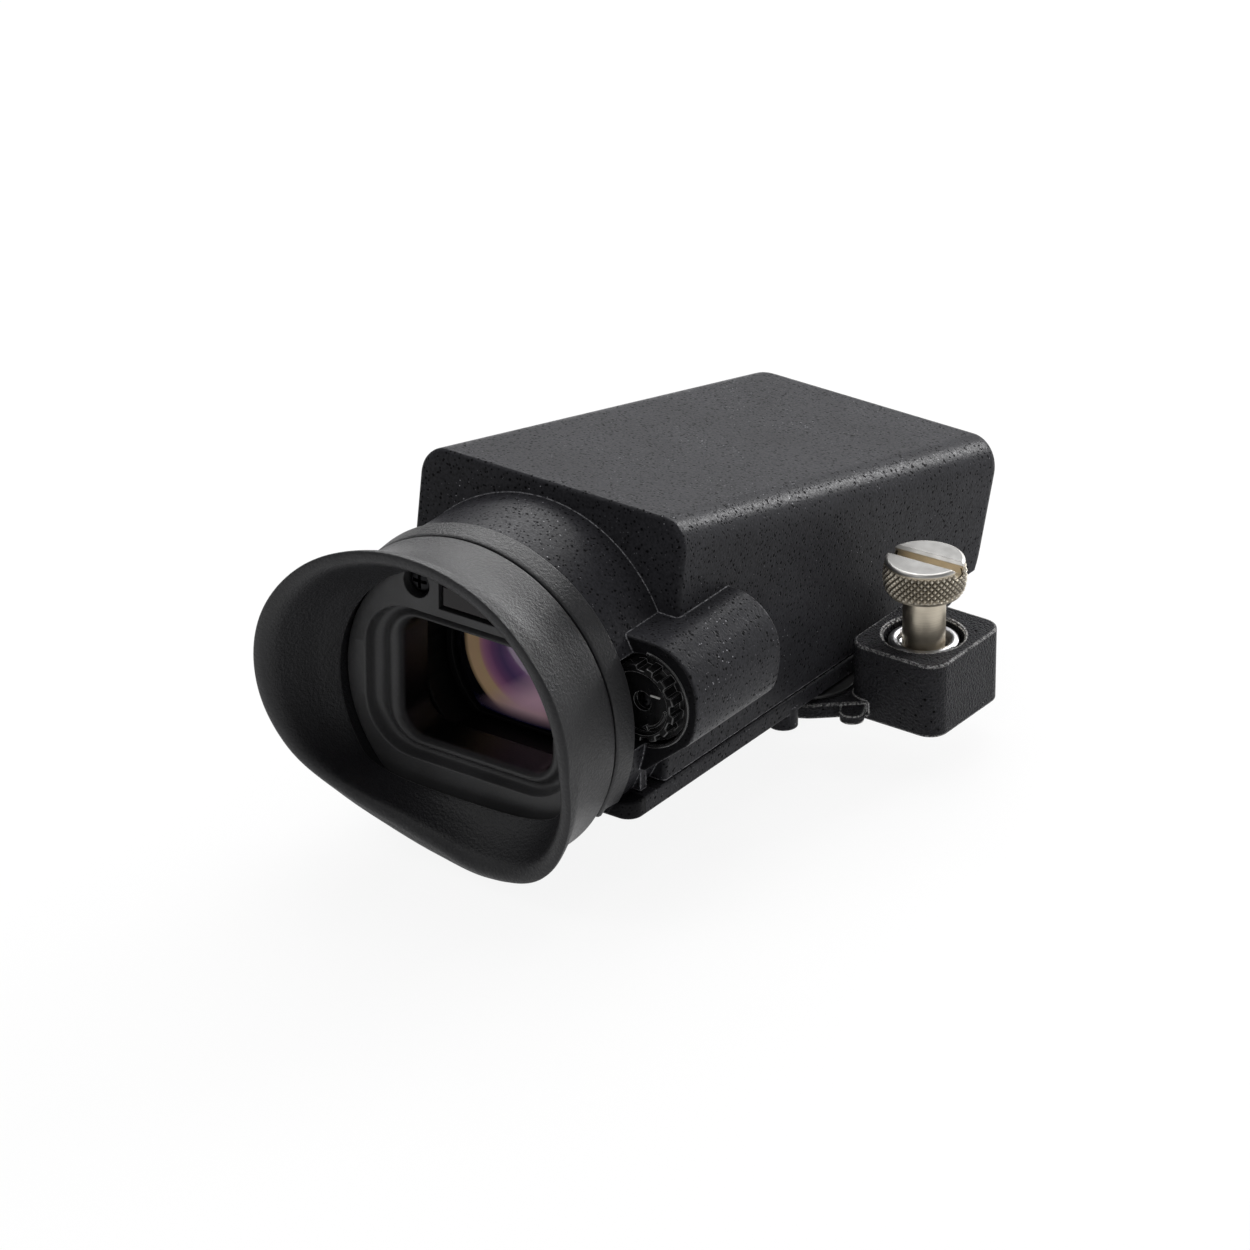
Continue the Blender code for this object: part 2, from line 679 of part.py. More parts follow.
def pod_ring(y, share):
    """A section of the pod: a flat top, a rounded outer edge and a flatter curve back to the wall."""
    points = [(POD_ROOT, POD_TOP)]
    centre_x = POD_RIGHT - POD_EDGE_RADIUS
    centre_z = POD_TOP - POD_EDGE_RADIUS
    points += arc(centre_x, centre_z, POD_EDGE_RADIUS, 88, 0, 2 * ARC_STEPS)
    for step in range(1, ARC_STEPS + 1):
        points.append(curve_point((POD_RIGHT, centre_z), (POD_RIGHT, 0), (POD_HIP_RIGHT, -POD_HIP_DROP),
                                  step / ARC_STEPS))
    points.append((HOUSING_RIGHT, -POD_BOTTOM))
    points.append((POD_ROOT, -POD_BOTTOM - OVERRUN))
    ring = []
    for x, z in points:
        if x > HOUSING_RIGHT:
            x = HOUSING_RIGHT + (x - HOUSING_RIGHT) * share
        ring.append((x, y, -POD_SHRINK_DROP + (z + POD_SHRINK_DROP) * share))
    return ring


def make_housing():
    housing = wedge("main_housing", 0, -SEAM_DROP - OVERRUN, NOSE_CHIN + OVERRUN, PAINT)

    tube = turned("tube_solid", [
        (0, TUBE_END + SHOULDER_LENGTH),
        (SHOULDER_RADIUS, TUBE_END + SHOULDER_LENGTH),
        *[(SHOULDER_RADIUS + (TUBE_RADIUS - SHOULDER_RADIUS) * math.cos(math.pi / 2 * (1 - k / ARC_STEPS)),
           TUBE_END + SHOULDER_LENGTH * math.sin(math.pi / 2 * (1 - k / ARC_STEPS)))
          for k in range(1, ARC_STEPS + 1)],
        (TUBE_RADIUS, TUBE_START),
        (0, TUBE_START),
    ], "viewfinder", steps=FINE_SIDES, ring=False)
    change_shell(housing, tube, "UNION")

    rings = [pod_ring(POD_MOUTH, 1), pod_ring(POD_STRAIGHT_END, 1), pod_ring(POD_STRAIGHT_END + POD_END_EDGE, 0.97)]
    for along_share, size_share in POD_END_SHARES:
        rings.append(pod_ring(POD_STRAIGHT_END + POD_END_EDGE + POD_TAPER * along_share, size_share))
    change_shell(housing, loft("pod_solid", rings, "viewfinder"), "UNION")

    change_shell(housing, wedge("housing_hollow", WALL, -SEAT_RADIUS, 0))
    change_shell(housing, rod("tube_bore", TUBE_RADIUS - TUBE_WALL, 0, BORE_END, "viewfinder", "Y", sides=FINE_SIDES))
    change_shell(housing, rod("pod_bore", POD_BORE, 0, POD_BORE_END, "viewfinder", "Y",
                        x=DIAL_X, z=DIAL_Z, sides=ROUND_SIDES))
    change_shell(housing, block("side_rib", (RIB_IN, RIB_START, -SEAM_DROP - OVERRUN),
                          (RIB_OUT, RIB_START + RIB_THICKNESS, -SEAM_DROP + RIB_HEIGHT), "viewfinder"), "UNION")

    for index, (x, y) in enumerate(cover_screw_places()):
        change_shell(housing, rod(f"cover_boss_{index + 1}", COVER_BOSS_RADIUS, -SEAM_DROP - OVERRUN,
                            -SEAM_DROP + COVER_BOSS_HEIGHT, "viewfinder", "Z", x=x, y=y), "UNION")
        change_shell(housing, rod(f"cover_boss_bore_{index + 1}", COVER_SCREW_SHANK + GAP, -COVER_BOTTOM_DROP,
                            -SEAM_DROP + COVER_BOSS_HEIGHT - OVERRUN, "viewfinder", "Z", x=x, y=y))
    change_shell(housing, block("socket_hole",
                          (-SOCKET_WIDTH / 2 - GAP, SOCKET_START, -BOARD_TOP_DROP),
                          (SOCKET_WIDTH / 2 + GAP, NOSE_REACH, -BOARD_TOP_DROP + SOCKET_HEIGHT + 2 * GAP),
                          "viewfinder"))
    reach = max(TUBE_RADIUS, HOUSING_LEFT, POD_RIGHT) + OVERRUN
    change_shell(housing, block("below_seam", (-reach, 0, -reach), (reach, NOSE_REACH, -SEAM_DROP), "viewfinder"))


def cover_screw_places():
    """One screw by each long wall in each row."""
    left = -HOUSING_LEFT + COVER_SCREW_INSET
    right = HOUSING_RIGHT - COVER_SCREW_INSET
    length = COVER_END - COVER_START
    return [(x, COVER_START + length * share) for share in COVER_SCREW_ROW_SHARES for x in (left, right)]


def post_places():
    inset = POST_RADIUS + OVERRUN
    return [
        (x, y)
        for x in (-BOARD_LEFT + inset, BOARD_RIGHT - inset)
        for y in (BOARD_START + inset, BOARD_END - 2 * inset)
    ]


def make_cover():
    outline = rounded_box(
        -COVER_LEFT, COVER_RIGHT, COVER_START, COVER_END,
        (COVER_REAR_CORNER, COVER_NOSE_CORNER, COVER_NOSE_CORNER, COVER_REAR_CORNER),
    )
    cover = slab("bottom_cover", outline, -COVER_BOTTOM_DROP, -COVER_TOP_DROP, "viewfinder", look=PAINT)
    soften(cover, COVER_EDGE, 1)
    board_floor = -BOARD_TOP_DROP - BOARD_THICKNESS - GAP
    for index, (x, y) in enumerate(post_places()):
        change(cover, rod(f"board_post_{index + 1}", POST_RADIUS, -COVER_TOP_DROP - OVERRUN, board_floor,
                          "viewfinder", "Z", x=x, y=y), "UNION")
    change(cover, rod("pivot_boss", PIVOT_BOSS_RADIUS, -COVER_TOP_DROP - OVERRUN,
                      -COVER_TOP_DROP + PIVOT_BOSS_HEIGHT, "viewfinder", "Z", x=PIVOT_X, y=PIVOT_Y), "UNION")
    change(cover, rod("stop_boss", STOP_BOSS_RADIUS, -COVER_BOTTOM_DROP - STOP_BOSS_LENGTH,
                      -COVER_BOTTOM_DROP + OVERRUN, "viewfinder", "Z", x=STOP_BOSS_X, y=STOP_BOSS_Y), "UNION")
    change(cover, rod("pivot_hole", BOLT_RADIUS + GAP, -SEAT_RADIUS, 0, "viewfinder", "Z", x=PIVOT_X, y=PIVOT_Y))
    for index, (x, y) in enumerate(cover_screw_places()):
        change(cover, rod(f"cover_hole_{index + 1}", COVER_SCREW_SHANK + GAP, -SEAT_RADIUS, 0,
                          "viewfinder", "Z", x=x, y=y))
        change(cover, rod(f"cover_sink_{index + 1}", COVER_SCREW_HEAD + GAP, -SEAT_RADIUS,
                          -COVER_BOTTOM_DROP + COVER_SCREW_HEAD_HEIGHT + GAP, "viewfinder", "Z", x=x, y=y))
        turned(f"cover_screw_{index + 1}", [
            (0, COVER_SCREW_LENGTH),
            (COVER_SCREW_SHANK, COVER_SCREW_LENGTH),
            (COVER_SCREW_SHANK, COVER_SCREW_HEAD_HEIGHT),
            (COVER_SCREW_HEAD, COVER_SCREW_HEAD_HEIGHT),
            (COVER_SCREW_HEAD, 0),
            (0, 0),
        ], "viewfinder", "Z", (x, y, -COVER_BOTTOM_DROP + GAP), SMALL_SIDES, ring=False, look=BLACK_STEEL)


def make_collar():
    collar = turned("eyepiece_collar", [
        (SEAT_RADIUS + COLLAR_FLARE, COLLAR_END),
        (SEAT_RADIUS, GAP),
        (SPIGOT_RADIUS, GAP),
        (SPIGOT_RADIUS, -SPIGOT_LENGTH + GAP),
        (SPIGOT_BORE, -SPIGOT_LENGTH + GAP),
        (SPIGOT_BORE, COLLAR_END),
    ], "viewfinder", steps=FINE_SIDES, look=RUBBER)
    reach = SEAT_RADIUS + OVERRUN
    change(collar, block("collar_flat", (-reach, GAP + OVERRUN, -reach), (reach, NOSE_REACH, -SEAM_DROP),
                         "viewfinder"))
    change(collar, slab("collar_trim", ring_below_seam(), GAP - OVERRUN / 2, GAP + 2 * OVERRUN, "viewfinder", "Y"))


def ring_below_seam():
    """The part of the collar's rim that would stand below the seam, outside the spigot."""
    outer = SEAT_RADIUS + OVERRUN
    inner = SPIGOT_RADIUS
    lowest = math.degrees(math.asin(SEAM_DROP / inner))
    points = arc(0, 0, outer, 180 + lowest, 360 - lowest, 4 * ARC_STEPS)
    return points + arc(0, 0, inner, 360 - lowest, 180 + lowest, 4 * ARC_STEPS)


def cup_ring(depth, radius):
    """A ring of the eyecup: depth and radius are functions of the turn."""
    points = []
    for i in range(CUP_SIDES):
        turn = i / CUP_SIDES
        reach = radius(turn)
        points.append((reach * math.cos(math.tau * turn), -depth(turn), reach * math.sin(math.tau * turn)))
    return points


def make_eyecup():
    def rim_radius(turn):
        return SEAT_RADIUS * cyclic(RIM_RADIUS_SHARES, turn)

    def rim_depth(turn):
        return CUP_DEPTH * cyclic(RIM_DEPTH_SHARES, turn)

    def floor_radius(turn):
        """Round, but flattened over the lower part of the frame."""
        fall = -math.sin(math.tau * turn)
        flat = CUP_FLAT / max(fall, CUP_FLAT / SEAT_RADIUS)
        return (CUP_INNER ** -8 + flat ** -8) ** (-1 / 8)

    def outer(share, swell):
        depth = lambda turn: CUP_SLEEVE + (rim_depth(turn) - CUP_SLEEVE) * share
        radius = lambda turn: SEAT_RADIUS + (rim_radius(turn) - SEAT_RADIUS) * (share ** 1.4) + CUP_LIP * swell
        return cup_ring(depth, radius)

    def inner(share):
        depth = lambda turn: CUP_FLOOR + (rim_depth(turn) - CUP_FLOOR) * share
        radius = lambda turn: floor_radius(turn) + (rim_radius(turn) - CUP_LIP - floor_radius(turn)) * share ** 0.8
        return cup_ring(depth, radius)

    flat = lambda value: lambda turn: value
    rings = [
        cup_ring(flat(CUP_FLOOR), flat(SLEEVE_INNER)),
        cup_ring(flat(0), flat(SLEEVE_INNER)),
        cup_ring(flat(0), flat(SEAT_RADIUS)),
        outer(0, 0), outer(0.3, -0.05), outer(0.6, -0.05), outer(0.88, 0),
        cup_ring(lambda t: rim_depth(t) - CUP_LIP * 0.1, lambda t: rim_radius(t) - CUP_LIP * 0.12),
        cup_ring(rim_depth, lambda t: rim_radius(t) - CUP_LIP * 0.45),
        cup_ring(lambda t: rim_depth(t) - CUP_LIP * 0.12, lambda t: rim_radius(t) - CUP_LIP * 0.85),
        inner(0.85), inner(0.6), inner(0.3), inner(0),
    ]
    loft("eyecup", rings, "eyecup_axis", RUBBER, loop=True)
    turned("eyecup_ring", [
        (RING_OUTER, -GAP), (RING_OUTER, -CUP_SLEEVE), (RING_INNER, -CUP_SLEEVE), (RING_INNER, -GAP),
    ], "eyecup_axis", steps=FINE_SIDES, look=BLACK_PLASTIC)


def funnel(name, wall, reach, on, look=None):
    """The funnel from the recess to the window and on through the shroud, as its outside or its hole."""
    stations = (
        (-PLATE_FACE - reach, 0), (-PLATE_FACE, 0), (-PLATE_FACE + WINDOW_DEPTH * 0.35, 0.45),
        (-PLATE_FACE + WINDOW_DEPTH * 0.75, 0.9), (WINDOW_PLANE, 1), (SHROUD_END + reach, 1),
    )
    rings = []
    for y, share in stations:
        width = RECESS_WIDTH + (WINDOW_WIDTH - RECESS_WIDTH) * share + 2 * wall
        height = RECESS_HEIGHT + (WINDOW_HEIGHT - RECESS_HEIGHT) * share + 2 * wall
        recess_corner = min(RECESS_CORNER, RECESS_HEIGHT / 2 - OVERRUN)
        corner = recess_corner + (WINDOW_CORNER - recess_corner) * share + wall
        if not rings or y > rings[-1][0][1]:
            rings.append([(x, y, z) for x, z in centred_box(width, height, corner)])
    return loft(name, rings, on, look)


def make_frame():
    frame = rod("eyepiece_frame", PLATE_RADIUS, -PLATE_FACE, PLATE_BACK, "viewfinder", "Y",
                sides=FINE_SIDES, look=BLACK_PLASTIC)
    change_shell(frame, funnel("funnel_outside", SHROUD_WALL, 0, "viewfinder"), "UNION")
    for side, x in (("left", -FRAME_SCREW_X), ("right", FRAME_SCREW_X)):
        change_shell(frame, rod(f"frame_boss_{side}", FRAME_BOSS_RADIUS, 0, FRAME_BOSS_END, "viewfinder", "Y",
                          x=x, z=FRAME_SCREW_Z), "UNION")
    change_shell(frame, funnel("funnel_hole", 0, OVERRUN, "viewfinder"))
    for side, x in (("left", -FRAME_SCREW_X), ("right", FRAME_SCREW_X)):
        pocket_end = -PLATE_FACE + FRAME_POCKET_DEPTH
        change_shell(frame, rod(f"frame_pocket_{side}", FRAME_SCREW_HEAD + GAP, -PLATE_FACE - OVERRUN, pocket_end,
                          "viewfinder", "Y", x=x, z=FRAME_SCREW_Z))
        change_shell(frame, rod(f"frame_bore_{side}", FRAME_SCREW_SHANK + GAP, -PLATE_FACE, FRAME_BOSS_END + OVERRUN,
                          "viewfinder", "Y", x=x, z=FRAME_SCREW_Z))
        screw = turned(f"frame_screw_{side}", [
            (0, FRAME_SCREW_LENGTH),
            (FRAME_SCREW_SHANK, FRAME_SCREW_LENGTH),
            (FRAME_SCREW_SHANK, FRAME_SCREW_HEAD / 2),
            (FRAME_SCREW_HEAD, FRAME_SCREW_HEAD / 2),
            (FRAME_SCREW_HEAD * 0.8, 0),
            (0, 0),
        ], "viewfinder", "Y", (x, pocket_end - GAP - FRAME_SCREW_HEAD / 2, FRAME_SCREW_Z), SMALL_SIDES,
            ring=False, look=NICKEL)
        face = pocket_end - GAP - FRAME_SCREW_HEAD / 2
        arm = FRAME_SCREW_HEAD * 0.62
        half = FRAME_SCREW_HEAD * 0.14
        depth = FRAME_SCREW_HEAD * 0.3
        for turn, (reach_x, reach_z) in enumerate(((arm, half), (half, arm))):
            change(screw, block(f"frame_screw_cross_{side}_{turn + 1}",
                                (x - reach_x, face - OVERRUN, FRAME_SCREW_Z - reach_z),
                                (x + reach_x, face + depth, FRAME_SCREW_Z + reach_z), "viewfinder"))
    change_shell(frame, block("sensor_notch", (-SENSOR_WIDTH / 2, -PLATE_FACE - OVERRUN, SENSOR_LOW),
                        (SENSOR_WIDTH / 2, FRAME_BOSS_END + OVERRUN, SENSOR_HIGH), "viewfinder"))
    window = block("eye_sensor_window",
                   (-SENSOR_WIDTH / 2 + GAP, -PLATE_FACE + GAP, SENSOR_LOW + GAP),
                   (SENSOR_WIDTH / 2 - GAP, PLATE_BACK, SENSOR_HIGH - GAP), "viewfinder", DARK_WINDOW)
    soften(window, GAP, 1)
    block("eye_sensor_board",
          (-SENSOR_WIDTH / 2, PLATE_BACK + GAP, SENSOR_LOW + GAP),
          (SENSOR_WIDTH / 2, PLATE_BACK + GAP + SENSOR_BOARD_THICKNESS, SENSOR_HIGH), "viewfinder", BOARD_GREEN)


def flats(name, height, on):
    """A band that keeps what lies within a height of the axis."""
    return block(name, (-SEAT_RADIUS, 0, -height), (SEAT_RADIUS, NOSE_REACH, height), on)


def lens(name, edge, thickness, rear_bulge, front_bulge):
    """A lens from its edge plane on, bulging to the eye by the one and forwards by the other."""
    def cap(bulge, start, sign):
        steps = ARC_STEPS
        return [(LENS_RADIUS * k / steps, start + sign * bulge * (1 - (k / steps) ** 2)) for k in range(steps + 1)]

    profile = cap(front_bulge, edge + thickness, 1) + cap(rear_bulge, edge, -1)[::-1]
    obj = turned(name, profile, "carriage_slide", ring=False, look=GLASS)
    return change(obj, flats(name + "_flats", LENS_FLAT, "carriage_slide"), "INTERSECT")


def make_magnifier():
    barrel = rod("lens_barrel", BARREL_RADIUS, BARREL_START, BARREL_END, "viewfinder", "Y",
                 sides=ROUND_SIDES, look=BLACK_PLASTIC)
    change(barrel, flats("barrel_flats", BARREL_FLAT, "viewfinder"), "INTERSECT")
    bore = rod("barrel_bore", BARREL_BORE, 0, BARREL_END + OVERRUN, "viewfinder", "Y", sides=ROUND_SIDES)
    change(barrel, change(bore, flats("barrel_bore_flats", BARREL_BORE_FLAT, "viewfinder"), "INTERSECT"))
    slot_half = FOLLOWER_BOSS_RADIUS + GAP
    change(barrel, block("follower_slot",
                         (0, CAM_CENTRE - CARRIAGE_TRAVEL - slot_half - GAP, DIAL_Z - slot_half),
                         (SEAT_RADIUS, CAM_CENTRE + CARRIAGE_TRAVEL + slot_half + GAP, DIAL_Z + slot_half),
                         "viewfinder"))

    carriage = rod("lens_carriage", CARRIAGE_RADIUS, CARRIAGE_START, CARRIAGE_END, "carriage_slide", "Y",
                   sides=ROUND_SIDES, look=BLACK_PLASTIC)
    change(carriage, flats("carriage_flats", CARRIAGE_FLAT, "carriage_slide"), "INTERSECT")
    wall_x = math.sqrt(CARRIAGE_RADIUS ** 2 - DIAL_Z ** 2)
    boss_end = wall_x + FOLLOWER_BOSS_LENGTH
    change(carriage, rod("follower_boss", FOLLOWER_BOSS_RADIUS, wall_x - CARRIAGE_WALL, boss_end,
                         "carriage_slide", "X", y=CAM_CENTRE, z=DIAL_Z), "UNION")
    change(carriage, rod("follower_hole", FOLLOWER_RADIUS + GAP, wall_x, boss_end + OVERRUN,
                         "carriage_slide", "X", y=CAM_CENTRE, z=DIAL_Z))
    bore = rod("carriage_bore", LENS_RADIUS + GAP, 0, BARREL_END, "carriage_slide", "Y", sides=ROUND_SIDES)
    change(carriage, change(bore, flats("carriage_bore_flats", LENS_FLAT + GAP, "carriage_slide"), "INTERSECT"))
    rod("follower_pin", FOLLOWER_RADIUS, wall_x + GAP, DIAL_X - CAM_RADIUS + CAM_GROOVE_DEPTH - GAP,
        "carriage_slide", "X", y=CAM_CENTRE, z=DIAL_Z, look=STEEL)

    second = FRONT_LENS_EDGE + LENS_SPACING
    third = second + LENS_SPACING
    lens("lens_front", FRONT_LENS_EDGE, FRONT_LENS_THICKNESS, FRONT_LENS_BULGE, 0)
    lens("lens_middle", second, REAR_LENS_THICKNESS, -MIDDLE_LENS_HOLLOW, 0)
    lens("lens_rear", third, REAR_LENS_THICKNESS, MIDDLE_LENS_HOLLOW, MIDDLE_LENS_HOLLOW)
    ring_start = third + REAR_LENS_THICKNESS + GAP
    retainer = rod("lens_retaining_ring", LENS_RADIUS, ring_start, ring_start + RETAINER_THICKNESS,
                   "carriage_slide", "Y", sides=ROUND_SIDES, look=BLACK_PLASTIC)
    change(retainer, flats("retainer_flats", LENS_FLAT, "carriage_slide"), "INTERSECT")
    opening = rod("retainer_opening", LENS_RADIUS - RETAINER_WIDTH, 0, BARREL_END, "carriage_slide", "Y",
                  sides=ROUND_SIDES)
    keep = flats("retainer_opening_flats", LENS_FLAT - RETAINER_WIDTH, "carriage_slide")
    change(retainer, change(opening, keep, "INTERSECT"))


def make_dial():
    dial = slab("dioptre_dial", toothed(DIAL_RADIUS, DIAL_TOOTH_DEPTH, DIAL_TEETH, 0.55),
                DIAL_FACE, DIAL_FACE + DIAL_THICKNESS, "dial_axis", "Y", (DIAL_X, 0, DIAL_Z), GLOSS_BLACK)
    dish_floor = DIAL_FACE + DIAL_DISH_DEPTH
    change(dial, turned("dial_dish", [
        (DIAL_DISH_RADIUS, dish_floor), (DIAL_DISH_RADIUS, DIAL_FACE - OVERRUN),
        (DIAL_HUB_RADIUS, DIAL_FACE - OVERRUN), (DIAL_HUB_RADIUS, dish_floor),
    ], "dial_axis", at=(DIAL_X, 0, DIAL_Z)))
    half = DIAL_MARK_WIDTH / 2
    change(dial, block("dial_pointer", (DIAL_X - half, DIAL_FACE, DIAL_Z + DIAL_HUB_RADIUS - half),
                       (DIAL_X + half, dish_floor + OVERRUN, DIAL_Z + DIAL_DISH_RADIUS + half), "dial_axis"), "UNION")
    pocket = DIAL_FACE + DIAL_SCREW_HEAD_THICKNESS + GAP
    shaft_start = pocket + DIAL_SCREW_HEAD_THICKNESS
    for name, radius, low, high in (
        ("dial_screw_pocket", DIAL_SCREW_HEAD + GAP, DIAL_FACE - OVERRUN, pocket),
        ("dial_screw_hole", DIAL_SCREW_SHANK + GAP, DIAL_FACE, DIAL_FACE + DIAL_THICKNESS),
        ("dial_shaft_bore", SHAFT_RADIUS + GAP, shaft_start, DIAL_FACE + DIAL_THICKNESS + OVERRUN),
    ):
        change(dial, rod(name, radius, low, high, "dial_axis", "Y", x=DIAL_X, z=DIAL_Z))
    head = DIAL_FACE + DIAL_SCREW_HEAD_THICKNESS
    turned("dial_screw", [
        (0, shaft_start), (DIAL_SCREW_SHANK, shaft_start), (DIAL_SCREW_SHANK, head),
        (DIAL_SCREW_HEAD, head), (DIAL_SCREW_HEAD, DIAL_FACE), (0, DIAL_FACE),
    ], "dial_axis", at=(DIAL_X, 0, DIAL_Z), steps=SMALL_SIDES, ring=False, look=NICKEL)

    bearing_end = POD_BORE_END - GAP
    rod("dial_shaft", SHAFT_RADIUS, shaft_start + GAP, bearing_end, "dial_axis", "Y", x=DIAL_X, z=DIAL_Z, look=STEEL)
    bearing = rod("dial_bearing", POD_BORE - GAP, bearing_end - BEARING_LENGTH, bearing_end, "viewfinder", "Y",
                  x=DIAL_X, z=DIAL_Z, sides=ROUND_SIDES, look=NYLON)
    change(bearing, rod("bearing_bore", SHAFT_RADIUS + GAP, BARREL_START, NOSE_REACH, "viewfinder", "Y",
                        x=DIAL_X, z=DIAL_Z))

    well_end = WELL_FLOOR + WELL_FLOOR_THICKNESS
    well = turned("dial_well", [
        (POD_BORE + WELL_WALL, well_end), (POD_BORE + WELL_WALL, WELL_START), (POD_BORE, WELL_START),
        (POD_BORE, WELL_FLOOR), (SHAFT_RADIUS + GAP, WELL_FLOOR), (SHAFT_RADIUS + GAP, well_end),
    ], "viewfinder", at=(DIAL_X, 0, DIAL_Z), look=GLOSS_BLACK)
    reach = DIAL_X + 2 * POD_BORE
    inner = TUBE_RADIUS - TUBE_WALL - GAP
    trim = turned("well_trim", [
        (reach, well_end + OVERRUN), (reach, 0), (inner, 0), (inner, well_end + OVERRUN),
    ], "viewfinder", steps=FINE_SIDES)
    keep = rod("well_keep", POD_BORE - GAP, WELL_START, well_end + 2 * OVERRUN, "viewfinder", "Y",
               x=DIAL_X, z=DIAL_Z, sides=ROUND_SIDES)
    change(well, change(trim, keep))

    cam_start = CAM_CENTRE - CAM_LENGTH / 2
    cam = turned("cam_drum", [
        (CAM_RADIUS, cam_start + CAM_LENGTH), (CAM_RADIUS, cam_start),
        (SHAFT_RADIUS + GAP, cam_start), (SHAFT_RADIUS + GAP, cam_start + CAM_LENGTH),
    ], "dial_axis", at=(DIAL_X, 0, DIAL_Z), look=BRASS)
    change(cam, cam_groove())


def cam_groove():
    """The helical groove: at rest its middle faces the optical axis, where the follower pin sits."""
    sweep = math.radians(CAM_TRAVEL_DEGREES + CAM_RUNOUT_DEGREES)
    floor = CAM_RADIUS - CAM_GROOVE_DEPTH
    reach = CAM_RADIUS + OVERRUN
    rings = []
    for step in range(CAM_GROOVE_STEPS + 1):
        turn = sweep * (2 * step / CAM_GROOVE_STEPS - 1)
        y = CAM_CENTRE + CAM_SLOPE * turn
        cosine, sine = math.cos(math.pi + turn), math.sin(math.pi + turn)
        rings.append([
            (DIAL_X + radius * cosine, y + side * CAM_GROOVE_HALF_WIDTH, DIAL_Z + radius * sine)
            for radius, side in ((floor, -1), (reach, -1), (reach, 1), (floor, 1))
        ])
    return loft("cam_groove", rings, "dial_axis")


def make_electronics():
    def tunnel(name, wall, reach, look=None):
        rings = []
        for y, share in ((TUNNEL_START - reach, 0), (TUNNEL_END + reach, 1)):
            width = TUNNEL_MOUTH_WIDTH + (DISPLAY_WIDTH - TUNNEL_MOUTH_WIDTH) * share - 2 * wall
            height = TUNNEL_MOUTH_HEIGHT + (DISPLAY_HEIGHT - TUNNEL_MOUTH_HEIGHT) * share - 2 * wall
            rings.append([(x, y, z) for x, z in centred_box(width, height, TUNNEL_CORNER, 2)])
        return loft(name, rings, "viewfinder", look)

    change(tunnel("light_tunnel", 0, 0, BLACK_PLASTIC), tunnel("tunnel_hole", TUNNEL_WALL, OVERRUN))
    block("display_panel", (-DISPLAY_WIDTH / 2, DISPLAY_START, -DISPLAY_HEIGHT / 2),
          (DISPLAY_WIDTH / 2, DISPLAY_BACK, DISPLAY_HEIGHT / 2), "viewfinder", PANEL_DARK)

    low = -BOARD_TOP_DROP + GAP
    flex_start = DISPLAY_BACK + GAP
    middle = FLEX_BEND + FLEX_THICKNESS / 2
    outer = arc(flex_start + middle, low + middle, middle, 180, 270)
    inner = arc(flex_start + middle, low + middle, middle - FLEX_THICKNESS, 270, 180)
    tail = flex_start + middle + FLEX_TAIL
    strip = [(flex_start, low + middle + FLEX_RISE), *outer, (tail, low), (tail, low + FLEX_THICKNESS), *inner,
             (flex_start + FLEX_THICKNESS, low + middle + FLEX_RISE)]
    slab("display_flex", strip, -FLEX_WIDTH / 2, FLEX_WIDTH / 2, "viewfinder", "X", look=FLEX_AMBER)

    block("main_board", (-BOARD_LEFT, BOARD_START, -BOARD_TOP_DROP - BOARD_THICKNESS),
          (BOARD_RIGHT, BOARD_END, -BOARD_TOP_DROP), "viewfinder", BOARD_GREEN)
    socket_low = -BOARD_TOP_DROP + GAP
    socket = block("signal_socket", (-SOCKET_WIDTH / 2, SOCKET_START, socket_low),
                   (SOCKET_WIDTH / 2, SOCKET_END, socket_low + SOCKET_HEIGHT), "viewfinder", BLACK_STEEL)
    middle = socket_low + SOCKET_HEIGHT / 2
    change(socket, block("socket_slot",
                         (-SOCKET_SLOT_WIDTH / 2, SOCKET_END - SOCKET_SLOT_DEPTH, middle - SOCKET_SLOT_HEIGHT / 2),
                         (SOCKET_SLOT_WIDTH / 2, SOCKET_END + OVERRUN, middle + SOCKET_SLOT_HEIGHT / 2),
                         "viewfinder"))


